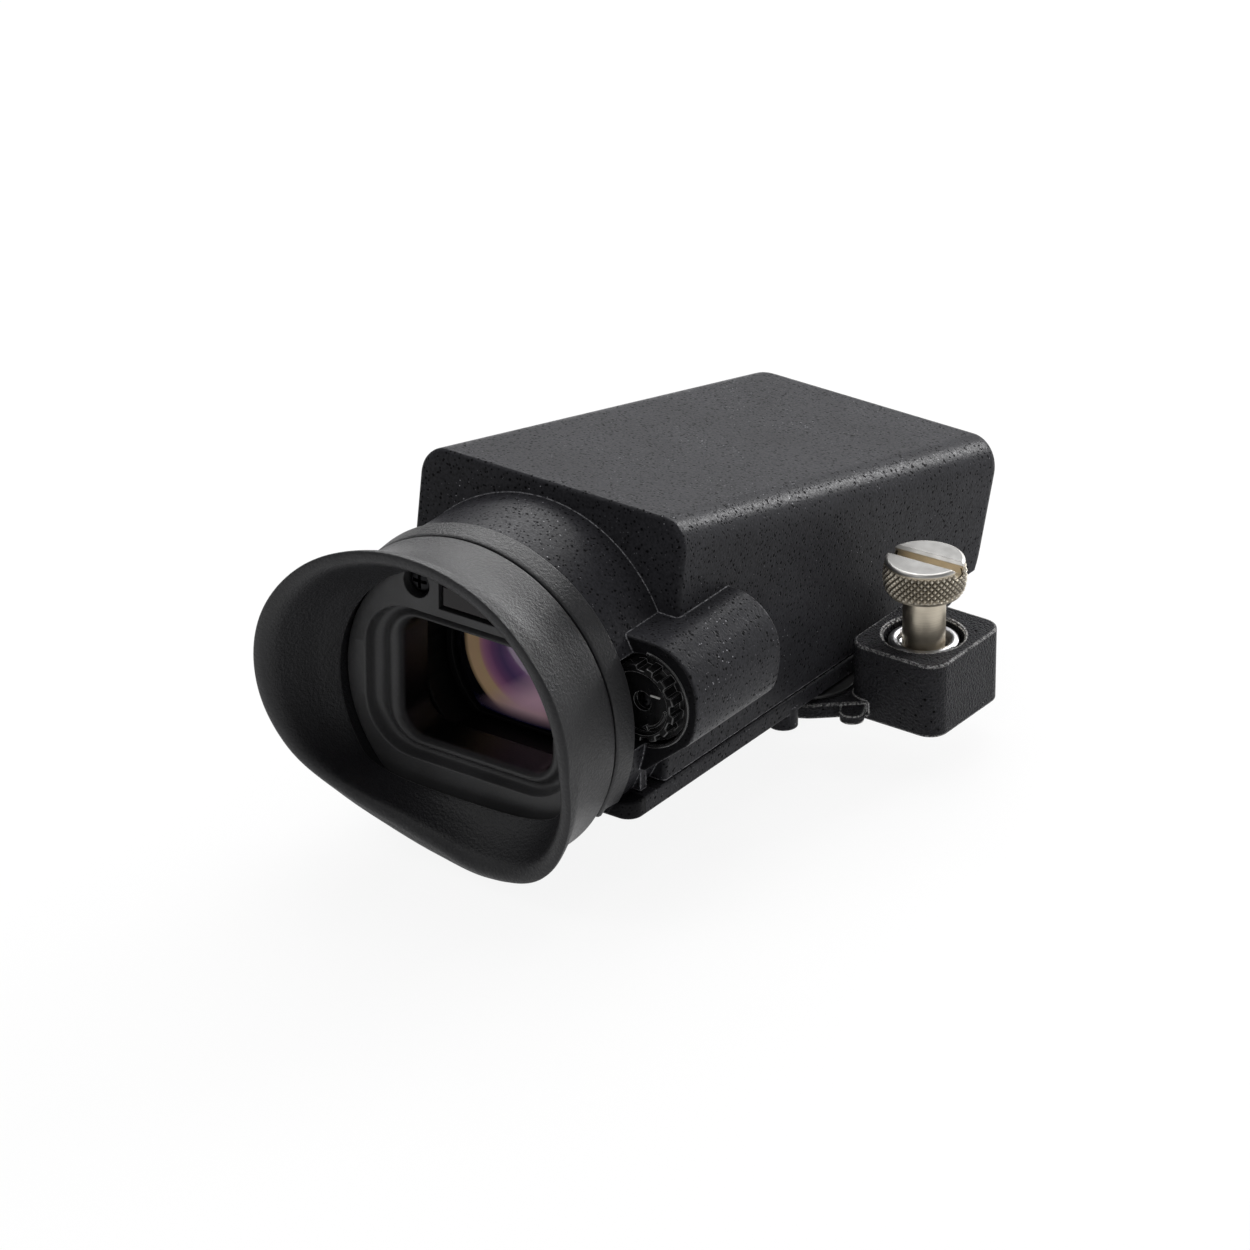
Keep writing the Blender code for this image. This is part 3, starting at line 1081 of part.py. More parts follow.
def make_swivel():
    rod_at = {"x": PIVOT_X, "y": PIVOT_Y}
    washer = rod("friction_washer", WASHER_RADIUS, -WASHER_TOP_DROP - WASHER_THICKNESS, -WASHER_TOP_DROP,
                 "viewfinder", "Z", sides=ROUND_SIDES, look=NYLON, **rod_at)
    change(washer, rod("washer_hole", BOLT_RADIUS + GAP, -SEAT_RADIUS, 0, "viewfinder", "Z", **rod_at))

    nut_low = -COVER_TOP_DROP + PIVOT_BOSS_HEIGHT + GAP
    nut = rod("pivot_nut", NUT_RADIUS, nut_low, nut_low + NUT_HEIGHT, "viewfinder", "Z",
              sides=NUT_SIDES, look=STEEL, **rod_at)
    change(nut, rod("nut_bore", BOLT_RADIUS + GAP, -SEAT_RADIUS, 0, "viewfinder", "Z", **rod_at))

    head_low = -HUB_BOTTOM_DROP + GAP
    turned("pivot_bolt", [
        (0, nut_low + NUT_HEIGHT), (BOLT_RADIUS, nut_low + NUT_HEIGHT), (BOLT_RADIUS, head_low + BOLT_HEAD_HEIGHT),
        (BOLT_HEAD_RADIUS, head_low + BOLT_HEAD_HEIGHT), (BOLT_HEAD_RADIUS, head_low), (0, head_low),
    ], "viewfinder", "Z", (PIVOT_X, PIVOT_Y, 0), SMALL_SIDES, ring=False, look=STEEL)

    around_hub = arc(PIVOT_X, PIVOT_Y, HUB_RADIUS, 0, 350, 27)
    corners = [
        point
        for y in (BLOCK_REAR + BLOCK_CORNER, BLOCK_FRONT - 2 * BLOCK_CORNER)
        for point in arc(BLOCK_LEFT + BLOCK_CORNER, y, BLOCK_CORNER, 0, 345, 11)
    ]
    finger = arc(STOP_TAB_X, STOP_TAB_Y, STOP_TAB_RADIUS, 0, 345, 13)
    root = arc(BLOCK_LEFT, BLOCK_REAR + BLOCK_CORNER, STOP_TAB_RADIUS, 0, 345, 13)
    arm = slab("mount_arm", hull(around_hub + corners), -HUB_BOTTOM_DROP, -HUB_TOP_DROP, "arm_axis", look=BLOCK_PAINT)
    change(arm, slab("stop_tab", hull(finger + root), -HUB_TOP_DROP - STOP_TAB_THICKNESS,
                     -HUB_TOP_DROP - GAP, "arm_axis"), "UNION")
    body = slab("mount_block", rounded_box(BLOCK_LEFT, BLOCK_RIGHT, BLOCK_REAR, BLOCK_FRONT, (BLOCK_CORNER,) * 4),
                -BLOCK_BOTTOM_DROP, -BLOCK_TOP_DROP, "arm_axis")
    soften(body, BLOCK_EDGE, 2)
    change(arm, body, "UNION")
    for name, radius, low, high, x, y in (
        ("arm_pivot_hole", BOLT_RADIUS + GAP, -SEAT_RADIUS, 0, PIVOT_X, PIVOT_Y),
        ("arm_counterbore", BOLT_HEAD_RADIUS + GAP, -SEAT_RADIUS, head_low + BOLT_HEAD_HEIGHT + GAP, PIVOT_X, PIVOT_Y),
        ("bushing_counterbore", COUNTERBORE_RADIUS, -LEDGE_DROP, 0, SCREW_X, SCREW_Y),
        ("clip_recess", RECESS_RADIUS, -SEAT_RADIUS, 0, SCREW_X, SCREW_Y),
    ):
        change(arm, rod(name, radius, low, high, "arm_axis", "Z", x=x, y=y, sides=ROUND_SIDES))
    bore = SCREW_RADIUS + GAP
    turned("screw_bushing", [
        (BUSHING_RADIUS - BUSHING_BEVEL, -BUSHING_TOP_DROP),
        (BUSHING_RADIUS, -BUSHING_TOP_DROP - BUSHING_BEVEL),
        (BUSHING_RADIUS, -BUSHING_BOTTOM_DROP),
        (bore, -BUSHING_BOTTOM_DROP),
        (bore, -BUSHING_TOP_DROP),
    ], "arm_axis", "Z", (SCREW_X, SCREW_Y, 0), look=STEEL)


def make_thumbscrew():
    turned("screw_clip", [
        (CLIP_RADIUS, -CLIP_TOP_DROP), (CLIP_RADIUS, -CLIP_BOTTOM_DROP),
        (SCREW_RADIUS, -CLIP_BOTTOM_DROP), (SCREW_RADIUS, -CLIP_TOP_DROP),
    ], "screw_slide", "Z", (SCREW_X, SCREW_Y, 0), look=BLACK_STEEL)
    groove = SCREW_RADIUS - GAP
    shank = turned("thumb_screw", [
        (0, SCREW_HEAD_BOTTOM + OVERRUN),
        (SCREW_RADIUS, SCREW_HEAD_BOTTOM + OVERRUN),
        (SCREW_RADIUS, -CLIP_TOP_DROP + GAP),
        (groove, -CLIP_TOP_DROP + GAP),
        (groove, -CLIP_BOTTOM_DROP - GAP),
        (SCREW_RADIUS, -CLIP_BOTTOM_DROP - GAP),
        (SCREW_RADIUS, -SCREW_TIP_DROP + SCREW_TIP_CHAMFER),
        (SCREW_RADIUS - SCREW_TIP_CHAMFER, -SCREW_TIP_DROP),
        (0, -SCREW_TIP_DROP),
    ], "screw_axis", "Z", (SCREW_X, SCREW_Y, 0), ring=False, look=NICKEL)
    inside = SCREW_HEAD_RADIUS - SCREW_HEAD_CHAMFER
    head = turned("screw_head", [
        (0, SCREW_HEAD_TOP),
        (inside, SCREW_HEAD_TOP),
        (SCREW_HEAD_RADIUS, SCREW_HEAD_TOP - SCREW_HEAD_CHAMFER),
        (SCREW_HEAD_RADIUS, SCREW_HEAD_BOTTOM + SCREW_HEAD_CHAMFER),
        (inside, SCREW_HEAD_BOTTOM),
        (0, SCREW_HEAD_BOTTOM),
    ], "screw_axis", "Z", (SCREW_X, SCREW_Y, 0), 2 * ROUND_SIDES, ring=False)
    knurl = slab("screw_knurl", toothed(SCREW_HEAD_RADIUS + OVERRUN, SCREW_KNURL_DEPTH + OVERRUN, SCREW_KNURLS, 0.5),
                 SCREW_HEAD_BOTTOM - OVERRUN, SCREW_HEAD_TOP + OVERRUN, "screw_axis", at=(SCREW_X, SCREW_Y, 0))
    change(head, knurl, "INTERSECT")
    outside = SCREW_HEAD_RADIUS + OVERRUN
    slot = block("head_slot", (-outside, -SCREW_SLOT_WIDTH / 2, -SCREW_SLOT_DEPTH),
                 (outside, SCREW_SLOT_WIDTH / 2, SCREW_SLOT_DEPTH), "screw_axis")
    slot.location = (0, 0, 0)
    slot.rotation_euler = (0, 0, math.radians(SCREW_SLOT_TURN_DEGREES))
    change(shank, head, "UNION")
    change(shank, slot)


make_housing()
make_cover()
make_collar()
make_eyecup()
make_frame()
make_magnifier()
make_dial()
make_electronics()
make_swivel()
make_thumbscrew()
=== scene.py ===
"""Looks of the electronic viewfinder: finer pieces, procedural materials, soft studio light.

Shapes are written in millimetres about the optical axis, with the groove between the eyecup and
the collar at zero, +X to the right, +Y away from the eye and +Z up. PLACE carries them to the frame.
"""

import json
import math

import bmesh
import bpy
from mathutils import Matrix, Vector


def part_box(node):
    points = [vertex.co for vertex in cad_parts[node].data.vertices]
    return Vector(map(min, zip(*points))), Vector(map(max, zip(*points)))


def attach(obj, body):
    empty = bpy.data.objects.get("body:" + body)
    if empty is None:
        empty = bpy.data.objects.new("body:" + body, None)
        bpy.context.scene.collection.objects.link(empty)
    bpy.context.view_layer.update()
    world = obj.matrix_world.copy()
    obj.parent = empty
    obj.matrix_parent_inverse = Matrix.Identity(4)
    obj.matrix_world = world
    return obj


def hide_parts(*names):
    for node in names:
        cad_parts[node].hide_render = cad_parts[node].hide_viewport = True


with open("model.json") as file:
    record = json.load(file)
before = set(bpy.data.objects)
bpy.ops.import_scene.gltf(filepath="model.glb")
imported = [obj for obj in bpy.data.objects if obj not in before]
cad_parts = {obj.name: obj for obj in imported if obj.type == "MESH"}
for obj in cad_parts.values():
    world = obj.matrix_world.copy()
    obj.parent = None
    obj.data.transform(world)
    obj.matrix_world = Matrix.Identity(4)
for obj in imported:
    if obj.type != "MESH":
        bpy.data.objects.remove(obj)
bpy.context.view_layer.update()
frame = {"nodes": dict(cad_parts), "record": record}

MM = 0.001
AXIS_HEIGHT = 25
PLACE = Matrix.Translation((-0.00675, -0.0444, 0.025)) @ Matrix.Scale(MM, 4)

# Sizes shared by several pieces, mm
GAP = 0.3                             # between neighbouring pieces
SEAT = 25.0                           # radius where the eyecup meets the collar
TUBE, TUBE_END = 24.7, 4.7            # radius of the rear tube, and the Y where it ends
SEAM = 11.7                           # depth of the housing's lower edge under the axis
WALL = 1.8
HOUSING_RIGHT, HOUSING_LEFT = 24.4, 22.4
REAR_FOOT, REAR_LEAN, REAR_TOP = 14.5, 0.138, 27.4
NOSE_LEAN, NOSE_TOP, NOSE_REACH = 0.325, 6.7, 103.3
DIAL = (24.5, 3.8)                    # X and Z of the dial's axis
DIAL_FACE = 7.2
POD_BORE = 7.1
COVER_LOW = SEAM + GAP + 2.9
COVER_FRONT = 93.0
SCREW = (34.2, 65.7)                  # X and Y of the mount screw's axis
SHANK = 3.2
HEAD_TOP, HEAD_RADIUS = 5.3, 6.3
KNURL_LOW, KNURL_HIGH, KNURL_SAG, KNURL_DEPTH = 0.45, 4.5, 0.35, 0.42
PIVOT = (19.0, 58.0)                  # X and Y of the arm's pivot
HUB_TOP = -COVER_LOW - 2 * GAP - 0.5
HUB_LOW = HUB_TOP - 2.4
FRAME_SCREWS = {"left": -8.9, "right": 8.9}
FRAME_SCREW_HEIGHT = 16.4


# ---------------------------------------------------------------- mesh helpers

def new_object(name, bm):
    bmesh.ops.recalc_face_normals(bm, faces=bm.faces)
    mesh = bpy.data.meshes.new(name)
    bm.to_mesh(mesh)
    bm.free()
    obj = bpy.data.objects.new(name, mesh)
    bpy.context.scene.collection.objects.link(obj)
    return obj


def bake(obj):
    """Puts what the modifiers make into the object's own mesh."""
    graph = bpy.context.evaluated_depsgraph_get()
    mesh = bpy.data.meshes.new_from_object(obj.evaluated_get(graph))
    old = obj.data
    obj.modifiers.clear()
    obj.data = mesh
    bpy.data.meshes.remove(old)
    return obj


def combine(obj, other, operation="DIFFERENCE", solver="MANIFOLD"):
    change = obj.modifiers.new("change", "BOOLEAN")
    change.operation = operation
    change.solver = solver
    change.object = other
    bake(obj)
    mesh = other.data
    bpy.data.objects.remove(other)
    bpy.data.meshes.remove(mesh)
    return obj


def join(obj, other):
    return combine(obj, other, "UNION")


def common(obj, other):
    return combine(obj, other, "INTERSECT")


def loft(name, rings, loop=False):
    """Skins rings of equally many points; the ends are capped, or joined to each other in a loop."""
    bm = bmesh.new()
    rows = [[bm.verts.new(point) for point in ring] for ring in rings]
    count = len(rows[0])
    pairs = list(zip(rows, rows[1:])) + ([(rows[-1], rows[0])] if loop else [])
    for near, far in pairs:
        for i in range(count):
            j = (i + 1) % count
            bm.faces.new((near[i], near[j], far[j], far[i]))
    if not loop:
        bm.faces.new(rows[0])
        bm.faces.new(rows[-1])
    return new_object(name, bm)


def turn_point(axis, radius, angle, along):
    c, s = radius * math.cos(angle), radius * math.sin(angle)
    return {"X": (along, c, s), "Y": (c, along, s), "Z": (c, s, along)}[axis]


def lathe(name, profile, axis="Y", at=(0, 0, 0), steps=96, ring=False):
    """A profile of (radius, place along the axis) turned round it. A ring's profile is a closed loop."""
    bm = bmesh.new()
    at = Vector(at)
    rows = []
    for radius, along in profile:
        if radius < 1e-9:
            rows.append([bm.verts.new(Vector(turn_point(axis, 0, 0, along)) + at)])
        else:
            rows.append([
                bm.verts.new(Vector(turn_point(axis, radius, math.tau * i / steps, along)) + at)
                for i in range(steps)
            ])
    pairs = list(zip(rows, rows[1:])) + ([(rows[-1], rows[0])] if ring else [])
    for near, far in pairs:
        for i in range(steps):
            j = (i + 1) % steps
            corners = [near[i % len(near)], near[j % len(near)], far[j % len(far)], far[i % len(far)]]
            corners = [c for k, c in enumerate(corners) if c not in corners[:k]]
            if len(corners) > 2:
                bm.faces.new(corners)
    return new_object(name, bm)


def prism(name, outline, low, high, axis="Z"):
    """A flat outline, drawn as (u, v) in the plane across the axis, between two heights."""
    def lift(u, v, along):
        return {"X": (along, u, v), "Y": (u, along, v), "Z": (u, v, along)}[axis]

    return loft(name, [[lift(u, v, along) for u, v in outline] for along in (low, high)])


def box(name, low, high):
    outline = [(low[0], low[1]), (high[0], low[1]), (high[0], high[1]), (low[0], high[1])]
    return prism(name, outline, low[2], high[2])


def rod(name, radius, low, high, axis="Z", at=(0, 0, 0), steps=96):
    return lathe(name, [(0, low), (radius, low), (radius, high), (0, high)], axis, at, steps)


def arc(centre_u, centre_v, radius, first, last, steps=10):
    """Points on a circle between two angles in degrees."""
    return [
        (centre_u + radius * math.cos(math.radians(first + (last - first) * i / steps)),
         centre_v + radius * math.sin(math.radians(first + (last - first) * i / steps)))
        for i in range(steps + 1)
    ]


def rounded_box(left, right, low, high, radii, steps=10):
    points = []
    corners = ((right, low, -1, 1, -90), (right, high, -1, -1, 0),
               (left, high, 1, -1, 90), (left, low, 1, 1, 180))
    for (u, v, inward_u, inward_v, start), radius in zip(corners, radii):
        points += arc(u + inward_u * radius, v + inward_v * radius, radius, start, start + 90, steps)
    return points


def centred_box(width, height, radius, steps=10):
    return rounded_box(-width / 2, width / 2, -height / 2, height / 2, (radius,) * 4, steps)


def hull(points):
    """The convex outline round flat points."""
    points = sorted(set(points))

    def half(row):
        line = []
        for point in row:
            while len(line) > 1:
                (ax, ay), (bx, by) = line[-2], line[-1]
                if (bx - ax) * (point[1] - ay) - (by - ay) * (point[0] - ax) > 0:
                    break
                line.pop()
            line.append(point)
        return line[:-1]

    return half(points) + half(points[::-1])


def mix(a, b, share):
    return a + (b - a) * share


def table_value(rows, x):
    """A value read from rows of (x, value), straight between them."""
    for (x0, y0), (x1, y1) in zip(rows, rows[1:]):
        if x <= x1:
            return mix(y0, y1, (x - x0) / (x1 - x0))
    return rows[-1][1]


def catmull(before, here, after, beyond, part):
    """A smooth curve through four values, read between the two in the middle."""
    square, cube = part ** 2, part ** 3
    return (
        (2 * cube - 3 * square + 1) * here + (cube - 2 * square + part) * (after - before) / 2
        + (3 * square - 2 * cube) * after + (cube - square) * (beyond - here) / 2
    )


def cyclic(shares, turn):
    """A closed table of values, read smoothly at a share of a turn."""
    place = (turn % 1) * len(shares)
    index = int(place)
    return catmull(*(shares[(index + k) % len(shares)] for k in (-1, 0, 1, 2)), place - index)


def soften(obj, width, segments=3, degrees=40):
    bevel = obj.modifiers.new("soften", "BEVEL")
    bevel.width = width
    bevel.segments = segments
    bevel.limit_method = "ANGLE"
    bevel.angle_limit = math.radians(degrees)
    bevel.use_clamp_overlap = True
    return bake(obj)


def dress(obj, look, body, slot, *replaced, sharp=32):
    """Carries a finished piece to the frame, with its material and body, and hides the nodes it
    replaces; the slot is not used.
    """
    obj.data.transform(PLACE)
    obj.data.materials.clear()
    obj.data.materials.append(look)
    obj.data.shade_smooth()
    obj.data.set_sharp_from_angle(angle=math.radians(sharp))
    weighted = obj.modifiers.new("weighted", "WEIGHTED_NORMAL")
    weighted.keep_sharp = True
    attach(obj, body)
    if replaced:
        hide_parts(*replaced)
    return obj


# ------------------------------------------------------------ material helpers

def scaled(colour, factor, most=math.inf):
    return tuple(min(most, c * factor) for c in colour)


class Look:
    """A Principled material that is built up node by node."""

    def __init__(self, name, colour, roughness, metallic=0.0, specular=0.5):
        self.material = bpy.data.materials.new(name)
        self.material.use_nodes = True
        self.tree = self.material.node_tree
        self.shader = self.tree.nodes["Principled BSDF"]
        self.set("Base Color", (*colour, 1))
        self.set("Roughness", roughness)
        self.set("Metallic", metallic)
        self.set("Specular IOR Level", specular)
        self.material.diffuse_color = (*colour, 1)
        self.where = self.add("TexCoord").outputs["Object"]

    def set(self, socket, value):
        if isinstance(value, bpy.types.NodeSocket):
            self.tree.links.new(value, self.shader.inputs[socket])
        else:
            self.shader.inputs[socket].default_value = value

    def add(self, kind, inputs=None, **settings):
        node = self.tree.nodes.new("ShaderNode" + kind)
        for key, value in settings.items():
            setattr(node, key, value)
        for key, value in (inputs or {}).items():
            if isinstance(value, bpy.types.NodeSocket):
                self.tree.links.new(value, node.inputs[key])
            else:
                node.inputs[key].default_value = value
        return node

    def noise(self, per_mm, detail=2.0, where=None, rough=0.5):
        return self.add("TexNoise", {"Vector": where or self.where, "Scale": per_mm / MM,
                                     "Detail": detail, "Roughness": rough}).outputs["Fac"]

    def spread(self, value, low, high, to_low=0.0, to_high=1.0):
        return self.add("MapRange", {"Value": value, "From Min": low, "From Max": high,
                                     "To Min": to_low, "To Max": to_high}).outputs["Result"]

    def maths(self, operation, a, b=0.0):
        return self.add("Math", {0: a, 1: b}, operation=operation).outputs[0]

    def blend(self, factor, a, b):
        node = self.add("Mix", {0: factor}, data_type="RGBA")
        for key, value in ((6, a), (7, b)):
            if isinstance(value, bpy.types.NodeSocket):
                self.tree.links.new(value, node.inputs[key])
            else:
                node.inputs[key].default_value = (*value, 1)
        return node.outputs[2]

    def part(self, letter):
        return self.add("SeparateXYZ", {0: self.where}).outputs[letter]

    def offset(self, centre):
        """The shaded point's offset from a point given in millimetres."""
        point = tuple(PLACE @ Vector(centre))
        return self.add("VectorMath", {0: self.where, 1: point}, operation="SUBTRACT").outputs["Vector"]

    def reach(self, offset, across):
        """The length of an offset's part in the directions of across."""
        flat = self.add("VectorMath", {0: offset, 1: across}, operation="MULTIPLY").outputs["Vector"]
        return self.add("VectorMath", {0: flat}, operation="LENGTH").outputs["Value"]

    def specks(self, per_mm, share, radius):
        """Round specks: one in some of the cells of a Voronoi pattern."""
        cells = self.add("TexVoronoi", {"Vector": self.where, "Scale": per_mm / MM})
        chosen = self.add("SeparateColor", {"Color": cells.outputs["Color"]}).outputs[0]
        inside = self.spread(cells.outputs["Distance"], radius * 0.55, radius, 1, 0)
        return self.maths("MULTIPLY", inside, self.spread(chosen, 1 - share, 1 - share + 0.02))

    def edges(self, radius_mm, low=0.02, high=0.25):
        """How near a point is to a sharp edge, and the normal rounded over that edge."""
        rounded = self.add("Bevel", {"Radius": radius_mm * MM}, samples=6).outputs["Normal"]
        plain = self.add("NewGeometry").outputs["Normal"]
        dot = self.add("VectorMath", {0: rounded, 1: plain}, operation="DOT_PRODUCT").outputs["Value"]
        return self.spread(self.maths("SUBTRACT", 1.0, dot), low, high), rounded

    def bump(self, height, distance_mm, strength=1.0, normal=None):
        inputs = {"Height": height, "Distance": distance_mm * MM, "Strength": strength}
        if normal is not None:
            inputs["Normal"] = normal
        self.set("Normal", self.add("Bump", inputs).outputs["Normal"])


def painted(name, colour, roughness, pits, sparks, grain_mm, edge_colour, edge_radius=0.35,
            specular=0.35, peel_per_mm=2.4, wear_and_highlight_share=0.75, shaded=None, wear_and_highlight_at=(0.015, 0.12)):
    """Satin metallic paint: dark pits, bright flakes, a fine orange peel and light edges that are part
    wear and part painted highlight.

    shaded darkens faces up to a Y and beyond a distance from the optical axis, both in mm.
    """
    look = Look(name, colour, roughness, 0.0, specular)
    pit = look.maths("MAXIMUM", look.specks(0.75, pits, 0.22), look.specks(1.4, pits, 0.29))
    patch = look.spread(look.noise(0.12, 2), 0.5, 0.62, 0.15, 1)
    flake = look.maths("MULTIPLY", look.specks(1.5, sparks, 0.17), patch)
    cloud = look.noise(0.09, 3)
    peel = look.noise(peel_per_mm, 3)
    edge_wear_and_highlight, rounded = look.edges(edge_radius, *wear_and_highlight_at)
    tone = look.blend(look.spread(cloud, 0.3, 0.7), scaled(colour, 0.86), scaled(colour, 1.14))
    tone = look.blend(look.spread(peel, 0.4, 0.66, 0, 0.6), tone, scaled(colour, 0.35))
    tone = look.blend(look.maths("MULTIPLY", pit, 0.95), tone, (0.001, 0.001, 0.0015))
    tone = look.blend(flake, tone, (0.42, 0.42, 0.45))
    # light edges, part paint wear and part painted highlight, broken up by the peel
    rubbed_and_highlit = look.maths("MULTIPLY", edge_wear_and_highlight, look.spread(peel, 0.4, 0.58, 0.12, wear_and_highlight_share))
    tone = look.blend(rubbed_and_highlit, tone, edge_colour)
    if shaded:
        near_face, from_axis = shaded
        reach = look.reach(look.offset((0, 0, 0)), (1, 0, 1))
        face = (PLACE @ Vector((0, near_face, 0))).y
        dark = look.maths("MULTIPLY", look.spread(look.part("Y"), face, face + 0.05 * MM, 1, 0),
                          look.spread(reach, from_axis * MM, (from_axis + 0.1) * MM))
        tone = look.blend(look.maths("MULTIPLY", dark, 0.8), tone, (0.002, 0.002, 0.0024))
    look.set("Base Color", tone)
    rough = look.spread(peel, 0.3, 0.7, roughness - 0.07, roughness + 0.09)
    rough = look.maths("ADD", rough, look.maths("MULTIPLY", pit, 0.35))
    look.set("Roughness", look.maths("SUBTRACT", rough, look.maths("MULTIPLY", flake, 0.2)))
    height = look.maths("SUBTRACT", peel, look.maths("MULTIPLY", pit, 0.9))
    look.bump(height, grain_mm, 0.8, rounded)
    return look.material


def moulded(name, colour, roughness, grain_mm, edge_colour=None, per_mm=3.2, specular=0.4,
            edge_radius=0.3, dark_from=None):
    """Moulded plastic or rubber: spark-eroded grain, faint blotches and polished edges.

    Further in than dark_from, a Y in mm, it is painted nearly black, as painted shade.
    """
    look = Look(name, colour, roughness, 0.0, specular)
    grain = look.noise(per_mm, 4, rough=0.6)
    cloud = look.noise(0.12, 2)
    edge_wear_and_highlight, rounded = look.edges(edge_radius)
    tone = look.blend(look.spread(cloud, 0.3, 0.7), scaled(colour, 0.8), scaled(colour, 1.2))
    tone = look.blend(look.spread(grain, 0.45, 0.8, 0, 0.4), tone, scaled(colour, 1.7))
    # lighter edges, part wear and part painted highlight; the roughness drops there too
    if edge_colour:
        tone = look.blend(look.maths("MULTIPLY", edge_wear_and_highlight, 0.6), tone, edge_colour)
    # painted shade: nearly black further in than dark_from
    if dark_from is not None:
        start = (PLACE @ Vector((0, dark_from, 0))).y
        deep = look.spread(look.part("Y"), start, start + 0.6 * MM)
        tone = look.blend(deep, tone, scaled(colour, 0.05))
    look.set("Base Color", tone)
    rough = look.spread(grain, 0.3, 0.7, roughness - 0.06, roughness + 0.08)
    look.set("Roughness", look.maths("SUBTRACT", rough, look.maths("MULTIPLY", edge_wear_and_highlight, 0.12)))
    look.bump(grain, grain_mm, 0.7, rounded)
    return look.material


def turned_metal(name, colour, roughness, centre=None, lines_per_mm=5.0, axis="Z", edge_radius=0.12,
                 dark_top_height=None, knurl=None):
    """Machined metal: lathe lines round an axis, handling marks and tarnish, with painted shade in a
    knurl's grooves and painted highlights on its crests.

    dark_top_height is the height of a head's flat top, which is painted dark as a painted reflection,
    and knurl the shape of its knurled band, in mm.
    """
    look = Look(name, colour, roughness, 1.0)
    if centre is None:
        lines = look.noise(lines_per_mm, 3)
    else:
        across = {"Z": (1, 1, 0), "Y": (1, 0, 1)}[axis]
        along = {"Z": (0, 0, 1), "Y": (0, 1, 0)}[axis]
        off = look.offset(centre)
        radius = look.reach(off, across)
        height = look.add("VectorMath", {0: off, 1: along}, operation="DOT_PRODUCT").outputs["Value"]
        wave = look.maths("ADD", radius, look.maths("MULTIPLY", height, 1.37))
        row = look.add("CombineXYZ", {"X": wave}).outputs["Vector"]
        lines = look.noise(lines_per_mm, 3, row)
    marks = look.noise(0.5, 4)
    stain = look.noise(0.2, 3)
    edge_wear_and_highlight, rounded = look.edges(edge_radius)
    tone = look.blend(look.spread(lines, 0.3, 0.7), scaled(colour, 0.82), scaled(colour, 1.1, 1))
    tarnish = (colour[0] * 0.62, colour[1] * 0.56, colour[2] * 0.46)
    tone = look.blend(look.spread(stain, 0.5, 0.8, 0, 0.25), tone, tarnish)
    if knurl:
        low, high, peak, sag, deep = (value * MM for value in knurl)
        foot = (PLACE @ Vector((0, 0, 0))).z
        share = look.spread(look.part("Z"), foot + low, foot + high, -1, 1)
        sunk = look.maths("MULTIPLY", look.maths("MULTIPLY", share, share), sag)
        under = look.maths("SUBTRACT", look.maths("SUBTRACT", peak, sunk), radius)
        # painted shade in the knurl's grooves and painted highlights on its crests
        groove_shade = look.spread(under, 0.45 * deep, 0.95 * deep)
        here = look.maths("MULTIPLY", look.spread(under, 1.3 * deep, 1.5 * deep, 1, 0),
                          look.maths("LESS_THAN", look.maths("ABSOLUTE", share), 0.98))
        tone = look.blend(look.maths("MULTIPLY", groove_shade, here), tone, (0.035, 0.03, 0.022))
        crest_highlight = look.maths("MULTIPLY", look.spread(under, 0.15 * deep, 0.45 * deep, 1, 0), here)
        tone = look.blend(crest_highlight, tone, (1.0, 0.95, 0.84))
    # painted reflection: a head's flat top is coloured dark; the rounded shoulder below it turns a
    # neutral grey
    if dark_top_height is not None:
        level = (PLACE @ Vector((0, 0, dark_top_height))).z
        height = look.part("Z")
        shoulder = look.spread(height, level - 0.6 * MM, level - 0.4 * MM)
        painted_dark_top = look.spread(height, level - 0.04 * MM, level - 0.01 * MM)
        tone = look.blend(shoulder, tone, (0.5, 0.49, 0.47))
        tone = look.blend(painted_dark_top, tone, (0.115, 0.1135, 0.11))
    # lighter edges, part wear and part painted highlight
    tone = look.blend(look.maths("MULTIPLY", edge_wear_and_highlight, 0.6), tone, scaled(colour, 1.35, 1))
    look.set("Base Color", tone)
    rough = look.spread(marks, 0.3, 0.7, roughness - 0.06, roughness + 0.1)
    look.set("Roughness", look.maths("ADD", rough, look.spread(lines, 0.3, 0.7, -0.04, 0.05)))
    look.bump(lines, 0.012, 0.6, rounded)
    return look.material


